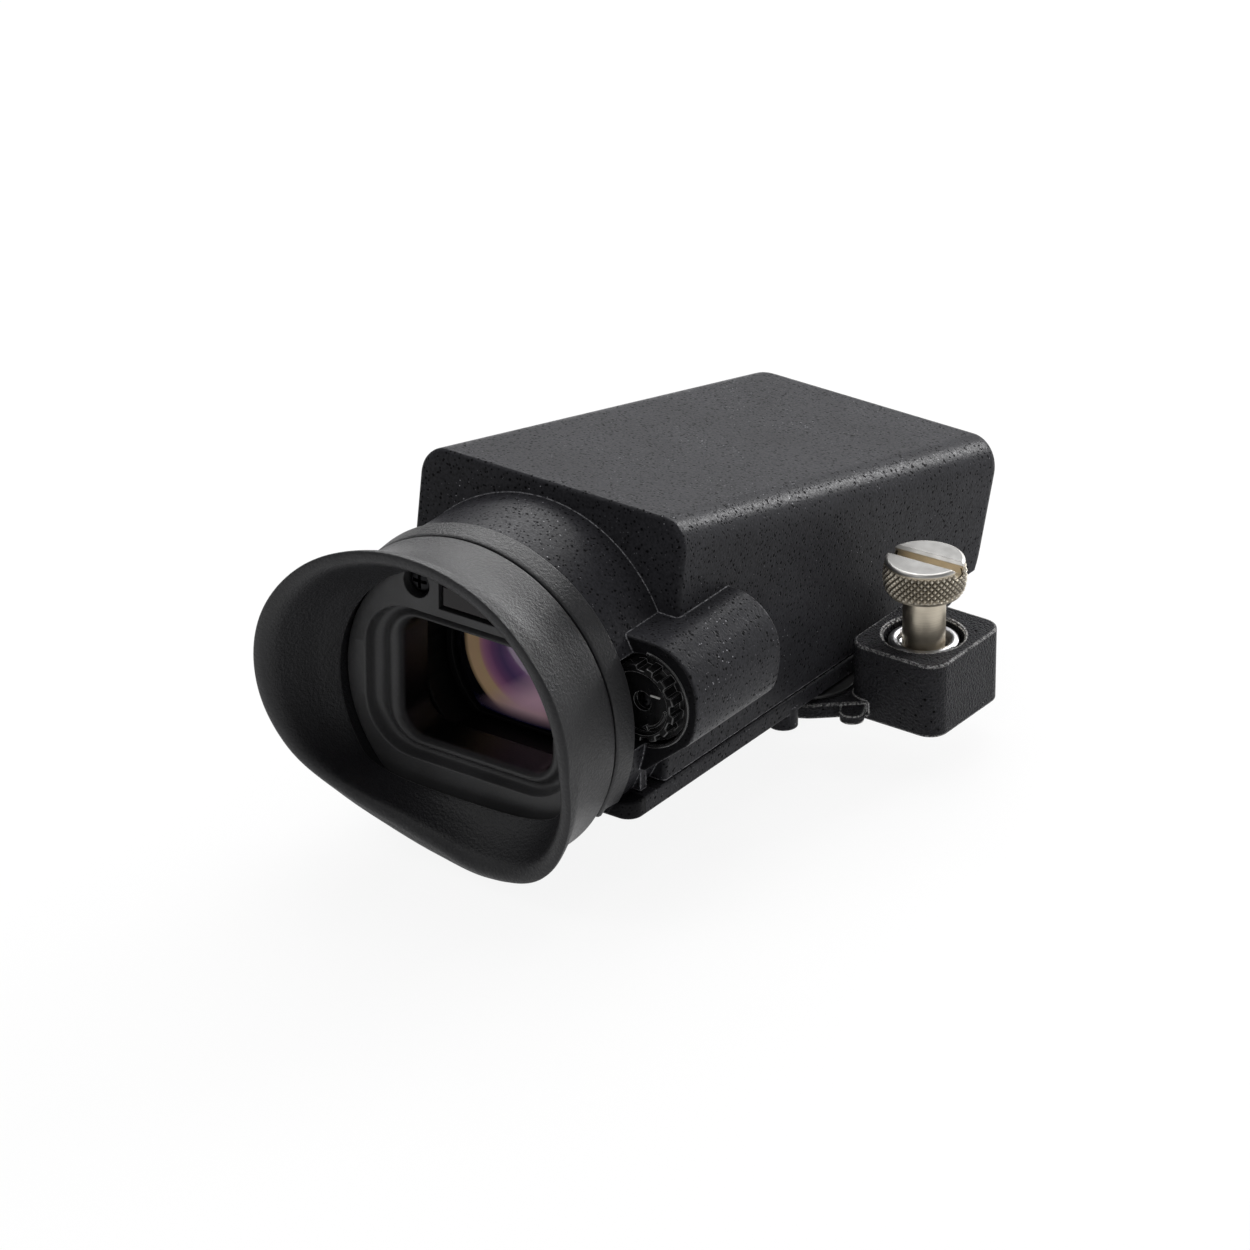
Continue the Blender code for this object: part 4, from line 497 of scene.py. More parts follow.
def coated_lens_painted_reflection(name):
    """Coated glass: bands of colour shift across the bulge, a painted reflection of the inner elements,
    with a pink patch and a dark blue foot.
    """
    look = Look(name, (0.02, 0.015, 0.03), 0.06)
    # painted reflection: the colour rings and patches stand in for light reflected from the inner
    # elements
    parts = look.add("SeparateXYZ", {0: look.offset((0, 13, 0))})
    ripple = look.spread(look.noise(0.07, 1), 0, 1, -0.0007, 0.0007)
    reach = look.maths("ADD", look.reach(look.offset((1.5, 13, 2.5)), (1, 0, 1)), ripple)
    ramp = look.add("ValToRGB", {"Fac": look.spread(reach, 0, 0.014)})
    bands = (
        (0.0, (0.20, 0.09, 0.24)),
        (0.20, (0.22, 0.10, 0.26)),
        (0.36, (0.10, 0.055, 0.17)),
        (0.48, (0.20, 0.085, 0.22)),
        (0.60, (0.46, 0.2, 0.34)),
        (0.655, (0.62, 0.32, 0.34)),
        (0.68, (0.74, 0.50, 0.30)),
        (0.84, (0.92, 0.64, 0.38)),
        (0.885, (0.44, 0.30, 0.18)),
        (0.91, (0.004, 0.004, 0.006)),
    )
    stops = ramp.color_ramp.elements
    while len(stops) < len(bands):
        stops.new(0.5)
    for stop, (place, colour) in zip(stops, bands):
        stop.position = place
        stop.color = (*colour, 1)
    lower = look.maths("SUBTRACT", parts.outputs["X"], look.maths("MULTIPLY", parts.outputs["Z"], 1.3))
    pink = look.spread(lower, 0.0015, 0.0085, 0, 0.85)
    tone = look.blend(pink, ramp.outputs["Color"], (1.0, 0.64, 0.8))
    below = look.spread(parts.outputs["Z"], -0.0095, -0.0072)
    tone = look.blend(below, (0.006, 0.01, 0.06), tone)
    look.set("Base Color", tone)
    look.set("Coat Weight", 1.0)
    look.set("Coat Roughness", 0.02)
    look.set("Roughness", look.spread(look.noise(1.5, 2), 0.3, 0.7, 0.1, 0.16))
    return look.material


def printed_board(name):
    """A circuit board: solder mask over traces, with pads and a faint weave."""
    look = Look(name, (0.02, 0.12, 0.05), 0.42)
    brick = look.add("TexBrick", {"Vector": look.where, "Scale": 900.0, "Mortar Size": 0.03,
                                  "Bias": -0.3})
    trace = look.add("TexVoronoi", {"Vector": look.where, "Scale": 420.0}, feature="DISTANCE_TO_EDGE")
    line = look.spread(trace.outputs["Distance"], 0.02, 0.05, 1, 0)
    tone = look.blend(look.maths("MULTIPLY", line, 0.7), (0.012, 0.085, 0.035), (0.05, 0.22, 0.09))
    tone = look.blend(look.specks(0.45, 0.35, 0.16), tone, (0.62, 0.58, 0.5))
    tone = look.blend(look.maths("MULTIPLY", brick.outputs["Fac"], 0.12), tone, (0.01, 0.05, 0.02))
    look.set("Base Color", tone)
    look.set("Roughness", look.spread(look.noise(2.0, 2), 0.3, 0.7, 0.34, 0.5))
    look.bump(line, 0.02, 0.6)
    return look.material


PAINT = painted("housing_paint", (0.03, 0.03, 0.034), 0.36, 0.9, 0.45, 0.06, (0.5, 0.5, 0.53),
                0.35, 0.06, shaded=(8.06, 24.9))
BLOCK = painted("block_paint", (0.036, 0.036, 0.04), 0.32, 0.12, 0.04, 1.0, (1.0, 0.99, 0.98),
                0.42, 0.06, 2.6, 1.0, wear_and_highlight_at=(0.004, 0.035))
RUBBER = moulded("rubber", (0.011, 0.011, 0.0125), 0.44, 0.2, (0.2, 0.2, 0.205), 2.2, 0.34)
BLACK = moulded("black_plastic", (0.017, 0.017, 0.018), 0.38, 0.016, (0.07, 0.07, 0.072), 3.4, 0.5)
# frame plastic: painted shade, nearly black, deep in the window funnel
FRAME_BLACK = moulded("frame_plastic", (0.04, 0.04, 0.0415), 0.38, 0.016, (0.09, 0.09, 0.092),
                      3.4, 0.28, 0.3, 1.3)
# darker black plastic: painted shade for the pieces deep inside the eyepiece
INNER_SHADE = moulded("inner_plastic_painted_shade", (0.002, 0.002, 0.0022), 0.45, 0.012, (0.008, 0.008, 0.009), 3.4, 0.12)
# Gloss black: its pale edge colour is a painted highlight, standing in for glints on the dial's rib
# edges.
GLOSS = moulded("gloss_black", (0.007, 0.007, 0.0075), 0.2, 0.006, (0.65, 0.65, 0.66), 1.2, 0.7, 0.16)
NICKEL = turned_metal("satin_nickel", (0.6, 0.54, 0.44), 0.38, (*SCREW, 0), 5.5, edge_radius=0.06,
                      dark_top_height=HEAD_TOP,
                      knurl=(KNURL_LOW, KNURL_HIGH, HEAD_RADIUS, KNURL_SAG, KNURL_DEPTH))
BUSH_STEEL = turned_metal("bushing_steel", (0.42, 0.42, 0.43), 0.3, (*SCREW, 0), 7.0)
BRIGHT = turned_metal("bright_steel", (0.55, 0.55, 0.57), 0.26)
SMALL_NICKEL = turned_metal("small_screw_steel", (0.34, 0.33, 0.32), 0.3)
BLACK_STEEL = turned_metal("black_steel", (0.014, 0.014, 0.015), 0.34)
BRASS = turned_metal("brass", (0.62, 0.43, 0.17), 0.3, (DIAL[0], 0, DIAL[1]), 6.0, "Y")
LENS = coated_lens_painted_reflection("coated_lens_painted_reflection")
BOARD = printed_board("circuit_board")
AMBER = moulded("flex_amber", (0.42, 0.2, 0.045), 0.4, 0.01, None, 1.5)
NYLON = moulded("nylon", (0.68, 0.67, 0.62), 0.45, 0.02, None, 2.0)
PANEL = moulded("display_glass", (0.008, 0.009, 0.014), 0.08, 0.001, None, 1.0, 0.6)
SENSOR = moulded("sensor_window", (0.004, 0.002, 0.003), 0.09, 0.001, (0.02, 0.015, 0.015), 1.0, 0.25)
PALE_MARK = moulded("pale_mark", (0.62, 0.62, 0.6), 0.4, 0.01, None, 3.0)


# ------------------------------------------------------------------- housing

LEFT_DRAFT = 0.4
REAR_ROUND, NOSE_ROUND, LOW_ROUND = 4.5, 4.8, 0.3       # radii of the long edges
NOSE_CORNER, CHIN = 3.0, 4.4
TOP_START = REAR_FOOT + REAR_LEAN * REAR_TOP
NOSE_FOOT = 103.26 - NOSE_LEAN * NOSE_TOP        # a hair behind NOSE_REACH, inside the solid's box
TOP_FALL = (REAR_TOP - NOSE_TOP) / (NOSE_REACH - TOP_START)


def wedge_ring(foot, lean, radius, side, top, floor, low):
    """A leaning section of the housing whose plane meets the axis at foot."""
    height = (REAR_TOP - TOP_FALL * (foot - TOP_START)) / (1 + TOP_FALL * lean) - top
    right = HOUSING_RIGHT - side
    left = HOUSING_LEFT - LEFT_DRAFT - side
    points = arc(-HOUSING_LEFT + side + low, floor + low, low, 180, 270, 8)
    points += arc(right - low, floor + low, low, 270, 360, 8)
    points += arc(right - radius, height - radius, radius, 0, 90, 14)
    points += arc(-left + radius, height - radius, radius, 90, 180, 14)
    return [(x, foot + lean * z, z) for x, z in points]


def wedge(name, inset, floor, chin):
    """The housing's body, or its hollow at an inset. The nose's lower edge rises by chin."""
    def section(foot, drawn_in, top, low, round_low=LOW_ROUND):
        share = (foot - REAR_FOOT) / (NOSE_FOOT - REAR_FOOT)
        radius = mix(REAR_ROUND, NOSE_ROUND, share) - inset
        lean = mix(REAR_LEAN, NOSE_LEAN, share)
        return wedge_ring(foot, lean, radius, inset + drawn_in, inset + top, low, round_low)

    rear_edge = 0.7
    rear = REAR_FOOT + inset
    rings = []
    for step in range(6):
        angle = math.pi / 2 * step / 5
        drawn = rear_edge * (1 - math.sin(angle))
        rings.append(section(rear + rear_edge * (1 - math.cos(angle)), drawn, drawn, floor))
    corner = NOSE_CORNER - inset
    for step in range(13):
        angle = math.pi / 2 * step / 12
        foot = NOSE_FOOT - inset - corner * (1 - math.sin(angle))
        drawn = 1 - math.cos(angle)
        rings.append(section(foot, corner * drawn, 1.4 * drawn, floor + chin * math.sqrt(drawn),
                             LOW_ROUND + 5.2 * math.sqrt(drawn)))
    return loft(name, rings)


def curve_point(first, bend, last, share):
    """A point on a curve from first to last that is pulled towards bend."""
    before, beyond = (1 - share) ** 2, share ** 2
    middle = 1 - before - beyond
    return tuple(before * a + middle * b + beyond * c for a, b, c in zip(first, bend, last))


POD_RIGHT = DIAL[0] + POD_BORE + WALL
POD_TOP = DIAL[1] + POD_BORE + 2.2


def pod_ring(y, share):
    """The pod's section at y, pressed towards the side wall as share falls from 1 to 0."""
    points = [(18.0, POD_TOP)]
    points += arc(POD_RIGHT - 8, POD_TOP - 8, 8, 88, 0, 22)
    points += [
        curve_point((POD_RIGHT, POD_TOP - 8), (POD_RIGHT, 0), (POD_RIGHT - 1.8, -1.8), step / 8)
        for step in range(1, 9)
    ]
    points += [(HOUSING_RIGHT, -7.8), (18.0, -8.8)]
    return [
        (mix(HOUSING_RIGHT, x, share) if x > HOUSING_RIGHT else x, y, mix(-3, z, share))
        for x, z in points
    ]


COVER_SCREWS = [
    (x, TUBE_END + (COVER_FRONT - TUBE_END) * share)
    for share in (0.2186, 0.8528) for x in (-HOUSING_LEFT + 3.6, HOUSING_RIGHT - 3.6)
]


def make_housing():
    below = -SEAM - 1
    housing = wedge("housing_shell", 0, below, CHIN)
    shoulder = [(TUBE - 4.2 + 4.2 * math.sin(angle), 20 + 7 * math.cos(angle))
                for angle in (math.pi / 2 * k / 12 for k in range(13))]
    join(housing, lathe("tube", [
        (0, 27), *shoulder, (TUBE, TUBE_END + 0.4), (TUBE - 0.12, TUBE_END + 0.12),
        (TUBE - 0.4, TUBE_END), (0, TUBE_END)], steps=160))
    end = ((0, 0.97), (0.3, 0.78), (0.6, 0.52), (0.85, 0.28), (1, 0.1))
    rings = [pod_ring(y, share) for y, share in
             ((8.0, 0.982), (8.1, 0.991), (8.35, 1), (28.8, 1), (29.1, 0.992))]
    rings += [pod_ring(29.4 + 6.8 * k / 10, table_value(end, k / 10)) for k in range(11)]
    join(housing, loft("pod", rings))
    combine(housing, wedge("hollow", WALL, -25, 0))
    combine(housing, rod("tube_bore", TUBE - WALL, 0, 19.5, "Y", steps=160))
    combine(housing, rod("pod_bore", POD_BORE, 0, 28.0, "Y", (DIAL[0], 0, DIAL[1])))
    join(housing, box("rib", (21.2, 8.6, below), (23.3, 10.0, -SEAM + 4.5)))
    for x, y in COVER_SCREWS:
        join(housing, rod("boss", 2.5, below, -SEAM + 6.0, at=(x, y, 0), steps=32))
        combine(housing, rod("boss_bore", 1.2, -SEAM - 3.2, -SEAM + 5.0, at=(x, y, 0), steps=24))
    combine(housing, box("socket_hole", (-5.3, 86.0, -7.2), (5.3, NOSE_REACH, -2.6)))
    combine(housing, box("below", (-40, 0, -40), (40, 110, -SEAM)))
    dress(housing, PAINT, "viewfinder", "housing_paint", "main_housing")


def make_cover():
    outline = rounded_box(-22.3, 24.6, TUBE_END, COVER_FRONT, (2.5, 6.0, 6.0, 2.5), 12)
    top = -SEAM - GAP
    cover = soften(prism("cover_plate", outline, -COVER_LOW, top), 0.45, 3, 50)
    inset = 3.0
    for x in (-15.5 + inset, 9.0 - inset):
        for y in (52.0 + inset, 90.0 - 2 * inset):
            join(cover, rod("post", 2.0, top - 1, -8.7, at=(x, y, 0), steps=32))
    join(cover, rod("pivot_boss", 3.2, top - 1, top + 1.4, at=(*PIVOT, 0), steps=48))
    join(cover, rod("stop_boss", 2.2, -COVER_LOW - 2.4, -COVER_LOW + 1, at=(22.6, 46.1, 0), steps=40))
    combine(cover, rod("pivot_hole", 1.8, -25, 0, at=(*PIVOT, 0), steps=40))
    for x, y in COVER_SCREWS:
        combine(cover, rod("hole", 1.2, -25, 0, at=(x, y, 0), steps=24))
        combine(cover, rod("sink", 2.3, -25, -COVER_LOW + 1.5, at=(x, y, 0), steps=40))
    dress(cover, PAINT, "viewfinder", "housing_paint", "bottom_cover")


def cross_screw(name, at, axis, into, head, shank, length, look, slot, body, node):
    """A pan-head screw with a cross recess. Its shank points along the axis, forwards if into is 1."""
    along = at[{"X": 0, "Y": 1, "Z": 2}[axis]]
    dome = [(head * math.sin(math.radians(a)), along + into * 0.55 * (1 - math.cos(math.radians(a))))
            for a in (0, 18, 36, 54, 72, 90)]
    base = tuple(0 if "XYZ"[k] == axis else at[k] for k in range(3))
    under, end = along + into * 1.0, along + into * length
    profile = dome + [(head, under), (shank, under), (shank, end), (0, end)]
    screw = lathe(name, profile, axis, base, 40)
    for wide, thin in ((0.62, 0.13), (0.13, 0.62)):
        spans = {"Y": (head * wide, 0.9, head * thin), "Z": (head * wide, head * thin, 0.9)}[axis]
        low = [c - s for c, s in zip(at, spans)]
        high = [c + s for c, s in zip(at, spans)]
        combine(screw, box("cross", low, high))
    dress(screw, look, body, slot, node)


def make_cover_screws():
    for index, (x, y) in enumerate(COVER_SCREWS):
        name = f"cover_screw_{index + 1}"
        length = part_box(name)[1].z / MM - AXIS_HEIGHT + COVER_LOW - GAP
        cross_screw("cross_" + name, (x, y, -COVER_LOW + GAP), "Z", 1, 2.0, 0.9, length, BLACK_STEEL,
                    "black_steel", "viewfinder", name)


# -------------------------------------------------------- collar and eyecup

def make_collar():
    spigot = SEAT - 2.4
    collar = lathe("collar_ring", [
        (SEAT + 0.4, 4.1), (SEAT + 0.38, 3.9), (SEAT + 0.1, 0.75), (SEAT - 0.1, 0.42), (SEAT - 0.4, GAP),
        (spigot, GAP), (spigot, -3.0), (spigot - 0.8, -3.0), (spigot - 0.8, 4.4), (SEAT + 0.15, 4.4),
    ], steps=160, ring=True)
    lowest = math.degrees(math.asin(SEAM / spigot))
    band = arc(0, 0, SEAT + 1, 180 + lowest, 360 - lowest, 24)
    band += arc(0, 0, spigot, 360 - lowest, 180 + lowest, 24)
    combine(collar, box("flat", (-26, 1.3, -26), (26, 103, -SEAM)))
    combine(collar, prism("trim", band, -0.2, 2.3, "Y"))
    dress(collar, RUBBER, "viewfinder", "rubber", "eyepiece_collar")


RIM_RADIUS = (1.014, 1.008, 1.018, 1.040, 1.072, 1.124, 1.178, 1.190,
              1.148, 1.070, 0.914, 0.822, 0.842, 0.962, 1.090, 1.070)
RIM_DEPTH = (0.814, 0.828, 0.828, 0.828, 0.841, 0.876, 0.945, 1.000,
             0.966, 0.841, 0.724, 0.669, 0.655, 0.683, 0.731, 0.772)
CUP_DEPTH, CUP_SLEEVE, CUP_LIP, CUP_FLOOR, CUP_SIDES = 14.5, 3.0, 2.4, 3.3, 192
SPAN_STEPS = 5


def make_eyecup():
    sleeve_inner = SEAT - 2.4 + GAP + 0.7 + GAP

    def floor_radius(turn):
        """The floor is round, and flattened towards the bottom."""
        fall = -math.sin(math.tau * turn)
        flat = 15.0 / max(fall, 15.0 / SEAT)
        return (21.9 ** -8 + flat ** -8) ** (-1 / 8)

    def controls(turn):
        """Points of (depth, radius) up the outside, over the lip and down the inside."""
        rim = SEAT * cyclic(RIM_RADIUS, turn) * 0.9975
        deep = CUP_DEPTH * cyclic(RIM_DEPTH, turn) * 0.999
        base = floor_radius(turn)

        def outer(share, swell):
            return (CUP_SLEEVE + (deep - CUP_SLEEVE) * share,
                    SEAT + (rim - SEAT) * share ** 1.4 + CUP_LIP * swell)

        def inner(share):
            return (CUP_FLOOR + (deep - CUP_FLOOR) * share, base + (rim - CUP_LIP - base) * share ** 0.8)

        return [
            (0.35, SEAT), outer(0, 0), outer(0.3, -0.05), outer(0.6, -0.05), outer(0.88, 0),
            (deep - CUP_LIP * 0.1, rim - CUP_LIP * 0.12), (deep, rim - CUP_LIP * 0.45),
            (deep - CUP_LIP * 0.12, rim - CUP_LIP * 0.85), inner(0.85), inner(0.6), inner(0.3), inner(0),
        ]

    columns = []
    for i in range(CUP_SIDES):
        turn = i / CUP_SIDES
        points = controls(turn)
        most = max(SEAT, points[5][1])
        line = [(CUP_FLOOR, sleeve_inner), (0.15, sleeve_inner), (0.0, sleeve_inner + 0.15),
                (0.0, SEAT - 0.35), (0.1, SEAT - 0.1)]
        for k in range(len(points) - 1):
            quad = [points[max(k - 1, 0)], points[k], points[k + 1], points[min(k + 2, len(points) - 1)]]
            for step in range(SPAN_STEPS):
                depth, radius = (catmull(*(q[c] for q in quad), step / SPAN_STEPS) for c in (0, 1))
                line.append((depth, min(radius, most)))
        line.append(points[-1])
        cosine, sine = math.cos(math.tau * turn), math.sin(math.tau * turn)
        columns.append([(r * cosine, -d, r * sine) for d, r in line])
    rings = [[column[k] for column in columns] for k in range(len(columns[0]))]
    dress(loft("rubber_eyecup", rings, True), RUBBER, "eyecup", "rubber", "eyecup", sharp=50)


# ---------------------------------------------------------- eyepiece interior

PLATE = 21.5
RECESS = (36.2, 23.9, 8.0)
WINDOW = (26.4, 19.3, 4.0)


def funnel(name, stations, wall):
    """Rounded boxes from the recess (share 0) to the window (share 1), wider by a wall."""
    rings = []
    for y, share in stations:
        width, height, corner = (mix(a, b, share) for a, b in zip(RECESS, WINDOW))
        outline = centred_box(width + 2 * wall, height + 2 * wall, corner + wall, 12)
        rings.append([(x, y, z) for x, z in outline])
    return loft(name, rings)


def make_frame():
    plate = lathe("eyepiece_plate", [
        (0, -1.2), (PLATE - 0.25, -1.2), (PLATE - 0.07, -1.12), (PLATE, -0.95), (PLATE, 0.3), (0, 0.3),
    ], steps=160)
    join(plate, funnel("outside", ((-1.1, 0), (1.9, 0), (2.6, 0.6), (3.1, 1), (7.3, 1)), 1.1))
    for x in FRAME_SCREWS.values():
        join(plate, rod("boss", 2.8, 0, 4.0, "Y", (x, 0, FRAME_SCREW_HEIGHT), 48))
    hole = (
        (-2.2, -0.07), (-1.2, -0.06), (-1.1, -0.03), (-0.85, 0.0), (-0.2, 0.03), (0.4, 0.07),
        (0.8, 0.14), (0.98, 0.24), (1.0, 0.36), (0.85, 0.47), (0.55, 0.56), (0.28, 0.64), (0.16, 0.72),
        (0.2, 0.8), (0.42, 0.88), (0.85, 0.95), (1.4, 0.985), (1.9, 1.0), (8.3, 1.0),
    )
    combine(plate, funnel("hole", hole, 0))
    for x in FRAME_SCREWS.values():
        combine(plate, rod("pocket", 2.3, -2.2, 0.8, "Y", (x, 0, FRAME_SCREW_HEIGHT), 48))
        combine(plate, rod("bore", 1.2, -1.2, 5.0, "Y", (x, 0, FRAME_SCREW_HEIGHT), 24))
    combine(plate, box("notch", (-5, -2.2, 13.4), (5, 5.0, 17.5)))
    dress(plate, FRAME_BLACK, "viewfinder", "black_plastic", "eyepiece_frame", sharp=40)
    for side, x in FRAME_SCREWS.items():
        cross_screw(f"cross_screw_{side}", (x, -0.5, FRAME_SCREW_HEIGHT), "Y", 1, 2.0, 0.9, 5.0,
                    BLACK_STEEL, "black_steel", "viewfinder", f"frame_screw_{side}")


def make_lens():
    """The front element, a smooth bulge cut flat above and below."""
    low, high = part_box("lens_front")
    radius = (high.x - low.x) / 2 / MM
    edge, bulge, thick = 13.6, 1.9, 1.8
    profile = [(0, edge + thick), (radius, edge + thick)]
    for k in range(24):
        sine = math.sin(math.pi / 2 * (1 - k / 24))
        profile.append((radius * sine, edge - bulge * (1 - sine ** 2)))
    profile.append((0, edge - bulge))
    glass = lathe("front_element", profile, steps=128)
    half = (high.z - low.z) / 2 / MM
    common(glass, box("flats", (-30, 0, -half), (30, 60, half)))
    dress(glass, LENS, "carriage", "lens_glass", "lens_front", sharp=40)


# ----------------------------------------------------------------------- dial

def make_dial():
    ribs, outer, inner = 13, 6.0, 5.35
    outline = []
    for rib in range(ribs):
        start = math.tau * (rib + 0.35) / ribs
        for share, radius in (
            (0.0, inner + 0.1), (0.03, outer - 0.12), (0.06, outer), (0.19, outer), (0.32, outer),
            (0.45, outer), (0.5, outer - 0.12), (0.53, inner + 0.1), (0.57, inner), (0.7, inner),
            (0.83, inner), (0.96, inner),
        ):
            angle = start + math.tau * share / ribs
            outline.append((DIAL[0] + radius * math.cos(angle), DIAL[1] + radius * math.sin(angle)))
    front = DIAL_FACE - 0.9
    dial = soften(prism("castellated_dial", outline, front, DIAL_FACE + 3, "Y"), 0.18, 3, 60)
    at = (DIAL[0], 0, DIAL[1])
    floor = DIAL_FACE + 0.1
    join(dial, rod("rear_flange", 6.7, DIAL_FACE + 1.7, DIAL_FACE + 2.9, "Y", at))
    combine(dial, lathe("dish", [
        (0, floor), (4.75, floor), (4.9, floor - 0.15), (5.0, front - 1), (0, front - 1)], "Y", at, 96))
    ridge = arc(*DIAL, 4.2, -8, -74, 16) + arc(*DIAL, 3.85, -74, -8, 16)
    join(dial, prism("ridge", ridge, floor - 0.35, floor + 0.2, "Y"))
    head = [(DIAL[0] + r * math.cos(math.radians(a)), DIAL[1] + r * math.sin(math.radians(a)))
            for r, a in ((3.6, -76), (4.5, -74), (4.05, -88))]
    join(dial, prism("arrow", head, floor - 0.35, floor + 0.2, "Y"))
    combine(dial, rod("pocket", 1.5, front - 1, DIAL_FACE + 0.9, "Y", at, 40))
    combine(dial, rod("hole", 0.8, DIAL_FACE, DIAL_FACE + 3, "Y", at, 24))
    combine(dial, rod("shaft_bore", 1.8, DIAL_FACE + 1.5, DIAL_FACE + 4, "Y", at, 32))
    dress(dial, GLOSS, "dial", "gloss_black", "dioptre_dial", sharp=35)
    mark = soften(box("dial_mark", (DIAL[0] + 1.42, floor - 0.22, DIAL[1] + 1.2),
                      (DIAL[0] + 3.1, floor + 0.2, DIAL[1] + 1.42)), 0.05, 2)
    dress(mark, PALE_MARK, "dial", "nylon")
    cross_screw("cross_dial_screw", (DIAL[0], DIAL_FACE + 0.15, DIAL[1]), "Y", 1, 1.2, 0.5, 1.3,
                BLACK_STEEL, "black_steel", "dial", "dial_screw")
    lining = lathe("pod_lining", [
        (7.05, 10.9), (6.98, 10.8), (6.98, 8.2), (7.02, 7.92), (7.15, 7.78), (7.35, 7.74), (7.52, 7.8),
        (7.6, 7.95), (7.05, 7.97),
    ], "Y", at, 96, True)
    reach = box("beside_tube", (TUBE + 0.15, 0, -20), (60, 40, 30))
    common(lining, reach)
    dress(lining, GLOSS, "viewfinder", "gloss_black")


# ---------------------------------------------------------------- mount block

def make_arm():
    hub_radius, block_corner, block_top, counterbore = 8.3, 3.0, -7.3, 6.0
    around = arc(*PIVOT, hub_radius, 0, 357.5, 143)
    corners = [p for y in (60.0, 69.2) for p in arc(29.3, y, block_corner, 0, 350, 35)]
    arm = soften(prism("block_arm", hull(around + corners), HUB_LOW, HUB_TOP), 0.35, 3, 50)
    finger = arc(29.7, 53.6, 1.8, 0, 345, 23)
    root = arc(26.3, 60.0, 1.8, 0, 345, 23)
    join(arm, prism("stop_tab", hull(finger + root), HUB_TOP - 1.6, HUB_TOP - GAP))
    block_low = HUB_LOW - 0.65
    outline = rounded_box(26.3, 42.2, 57.0, 75.2, (block_corner,) * 4, 12)
    body = prism("body", outline, block_low, block_top)
    join(arm, soften(body, 0.3, 3, 50))
    head_low = HUB_LOW + GAP
    for radius, low, high, at in (
        (1.8, -25, 0, PIVOT), (3.7, -25, head_low + 1.7, PIVOT),
        (counterbore, -10.2, 0, SCREW), (4.6, -25, 0, SCREW),
    ):
        combine(arm, rod("cut", radius, low, high, at=(*at, 0)))
    rim = block_top + 0.3
    edge = [(0, rim), (counterbore + 0.6, rim), (counterbore, rim - 0.6), (0, rim - 0.6)]
    combine(arm, lathe("counterbore_edge", edge, "Z", (*SCREW, 0)))
    dress(arm, BLOCK, "arm", "block_paint", "mount_arm")

    bore = 3.5
    inside = []
    for k in range(4):
        z = -8.98 - 0.24 * k
        inside += [(bore + 0.12, z), (bore, z - 0.11)]
    crown = [(4.6 + 0.7 * math.cos(math.radians(a)), -8.35 + 0.5 * math.sin(math.radians(a)))
             for a in range(0, 166, 15)]
    profile = [(5.15, -9.9), (bore, -9.9)] + inside[::-1] + [(3.7, -8.9)] + crown[::-1]
    bushing = lathe("bushing_ring", profile, "Z", (*SCREW, 0), 128, True)
    dress(bushing, BUSH_STEEL, "arm", "bright_steel", "screw_bushing", sharp=25)

    bolt = lathe("pivot_bolt_fine", [
        (0, -8.1), (1.3, -8.1), (1.5, -8.3), (1.5, head_low + 1.4), (3.3, head_low + 1.4),
        (3.4, head_low + 1.3), (3.4, head_low + 0.25), (3.15, head_low), (0, head_low),
    ], "Z", (*PIVOT, 0), 64)
    hexagon = arc(*PIVOT, 1.35, 0, 300, 5)
    combine(bolt, prism("socket", hexagon, head_low - 1, head_low + 0.9))
    dress(bolt, BRIGHT, "viewfinder", "bright_steel", "pivot_bolt")
    top = -COVER_LOW - GAP
    washer = lathe("washer_fine", [(7.2, top), (7.2, top - 0.5), (1.8, top - 0.5), (1.8, top)],
                   "Z", (*PIVOT, 0), 96, True)
    dress(washer, BLACK, "viewfinder", "nylon", "friction_washer")


# ---------------------------------------------------------------- thumbscrew

def knurled_head(name):
    """A head with a diamond knurl: peaks and grooves alternate over a grid, split along the grooves."""
    columns, rows = 76, 8
    low, rounding = -0.1, 0.6
    bm = bmesh.new()

    def ring(radii, z):
        return [bm.verts.new((SCREW[0] + r * math.cos(math.tau * i / columns),
                              SCREW[1] + r * math.sin(math.tau * i / columns), z))
                for i, r in enumerate(radii)]

    grid = []
    for j in range(rows + 1):
        edge = 0.5 if j in (0, rows) else 1.0
        belly = HEAD_RADIUS - KNURL_SAG * (2 * j / rows - 1) ** 2
        radii = [belly - (0 if (i + j) % 2 else KNURL_DEPTH) * edge for i in range(columns)]
        grid.append(ring(radii, mix(KNURL_LOW, KNURL_HIGH, j / rows)))
    for j in range(rows):
        for i in range(columns):
            k = (i + 1) % columns
            a, b, c, d = grid[j][i], grid[j][k], grid[j + 1][k], grid[j + 1][i]
            if (i + j) % 2:
                bm.faces.new((a, b, d))
                bm.faces.new((b, c, d))
            else:
                bm.faces.new((a, b, c))
                bm.faces.new((a, c, d))

    upper = [grid[-1]]
    for k in range(6):
        angle = math.pi / 2 * k / 5
        radius = HEAD_RADIUS - 0.95 + rounding * math.cos(angle)
        upper.append(ring([radius] * columns, HEAD_TOP - rounding + rounding * math.sin(angle)))
    lower = [grid[0], ring([HEAD_RADIUS - 0.62] * columns, low + 0.3),
             ring([HEAD_RADIUS - 0.78] * columns, low)]
    for rings in (upper, lower):
        for near, far in zip(rings, rings[1:]):
            for i in range(columns):
                k = (i + 1) % columns
                bm.faces.new((near[i], near[k], far[k], far[i]))
        bm.faces.new(rings[-1])
    return new_object(name, bm)


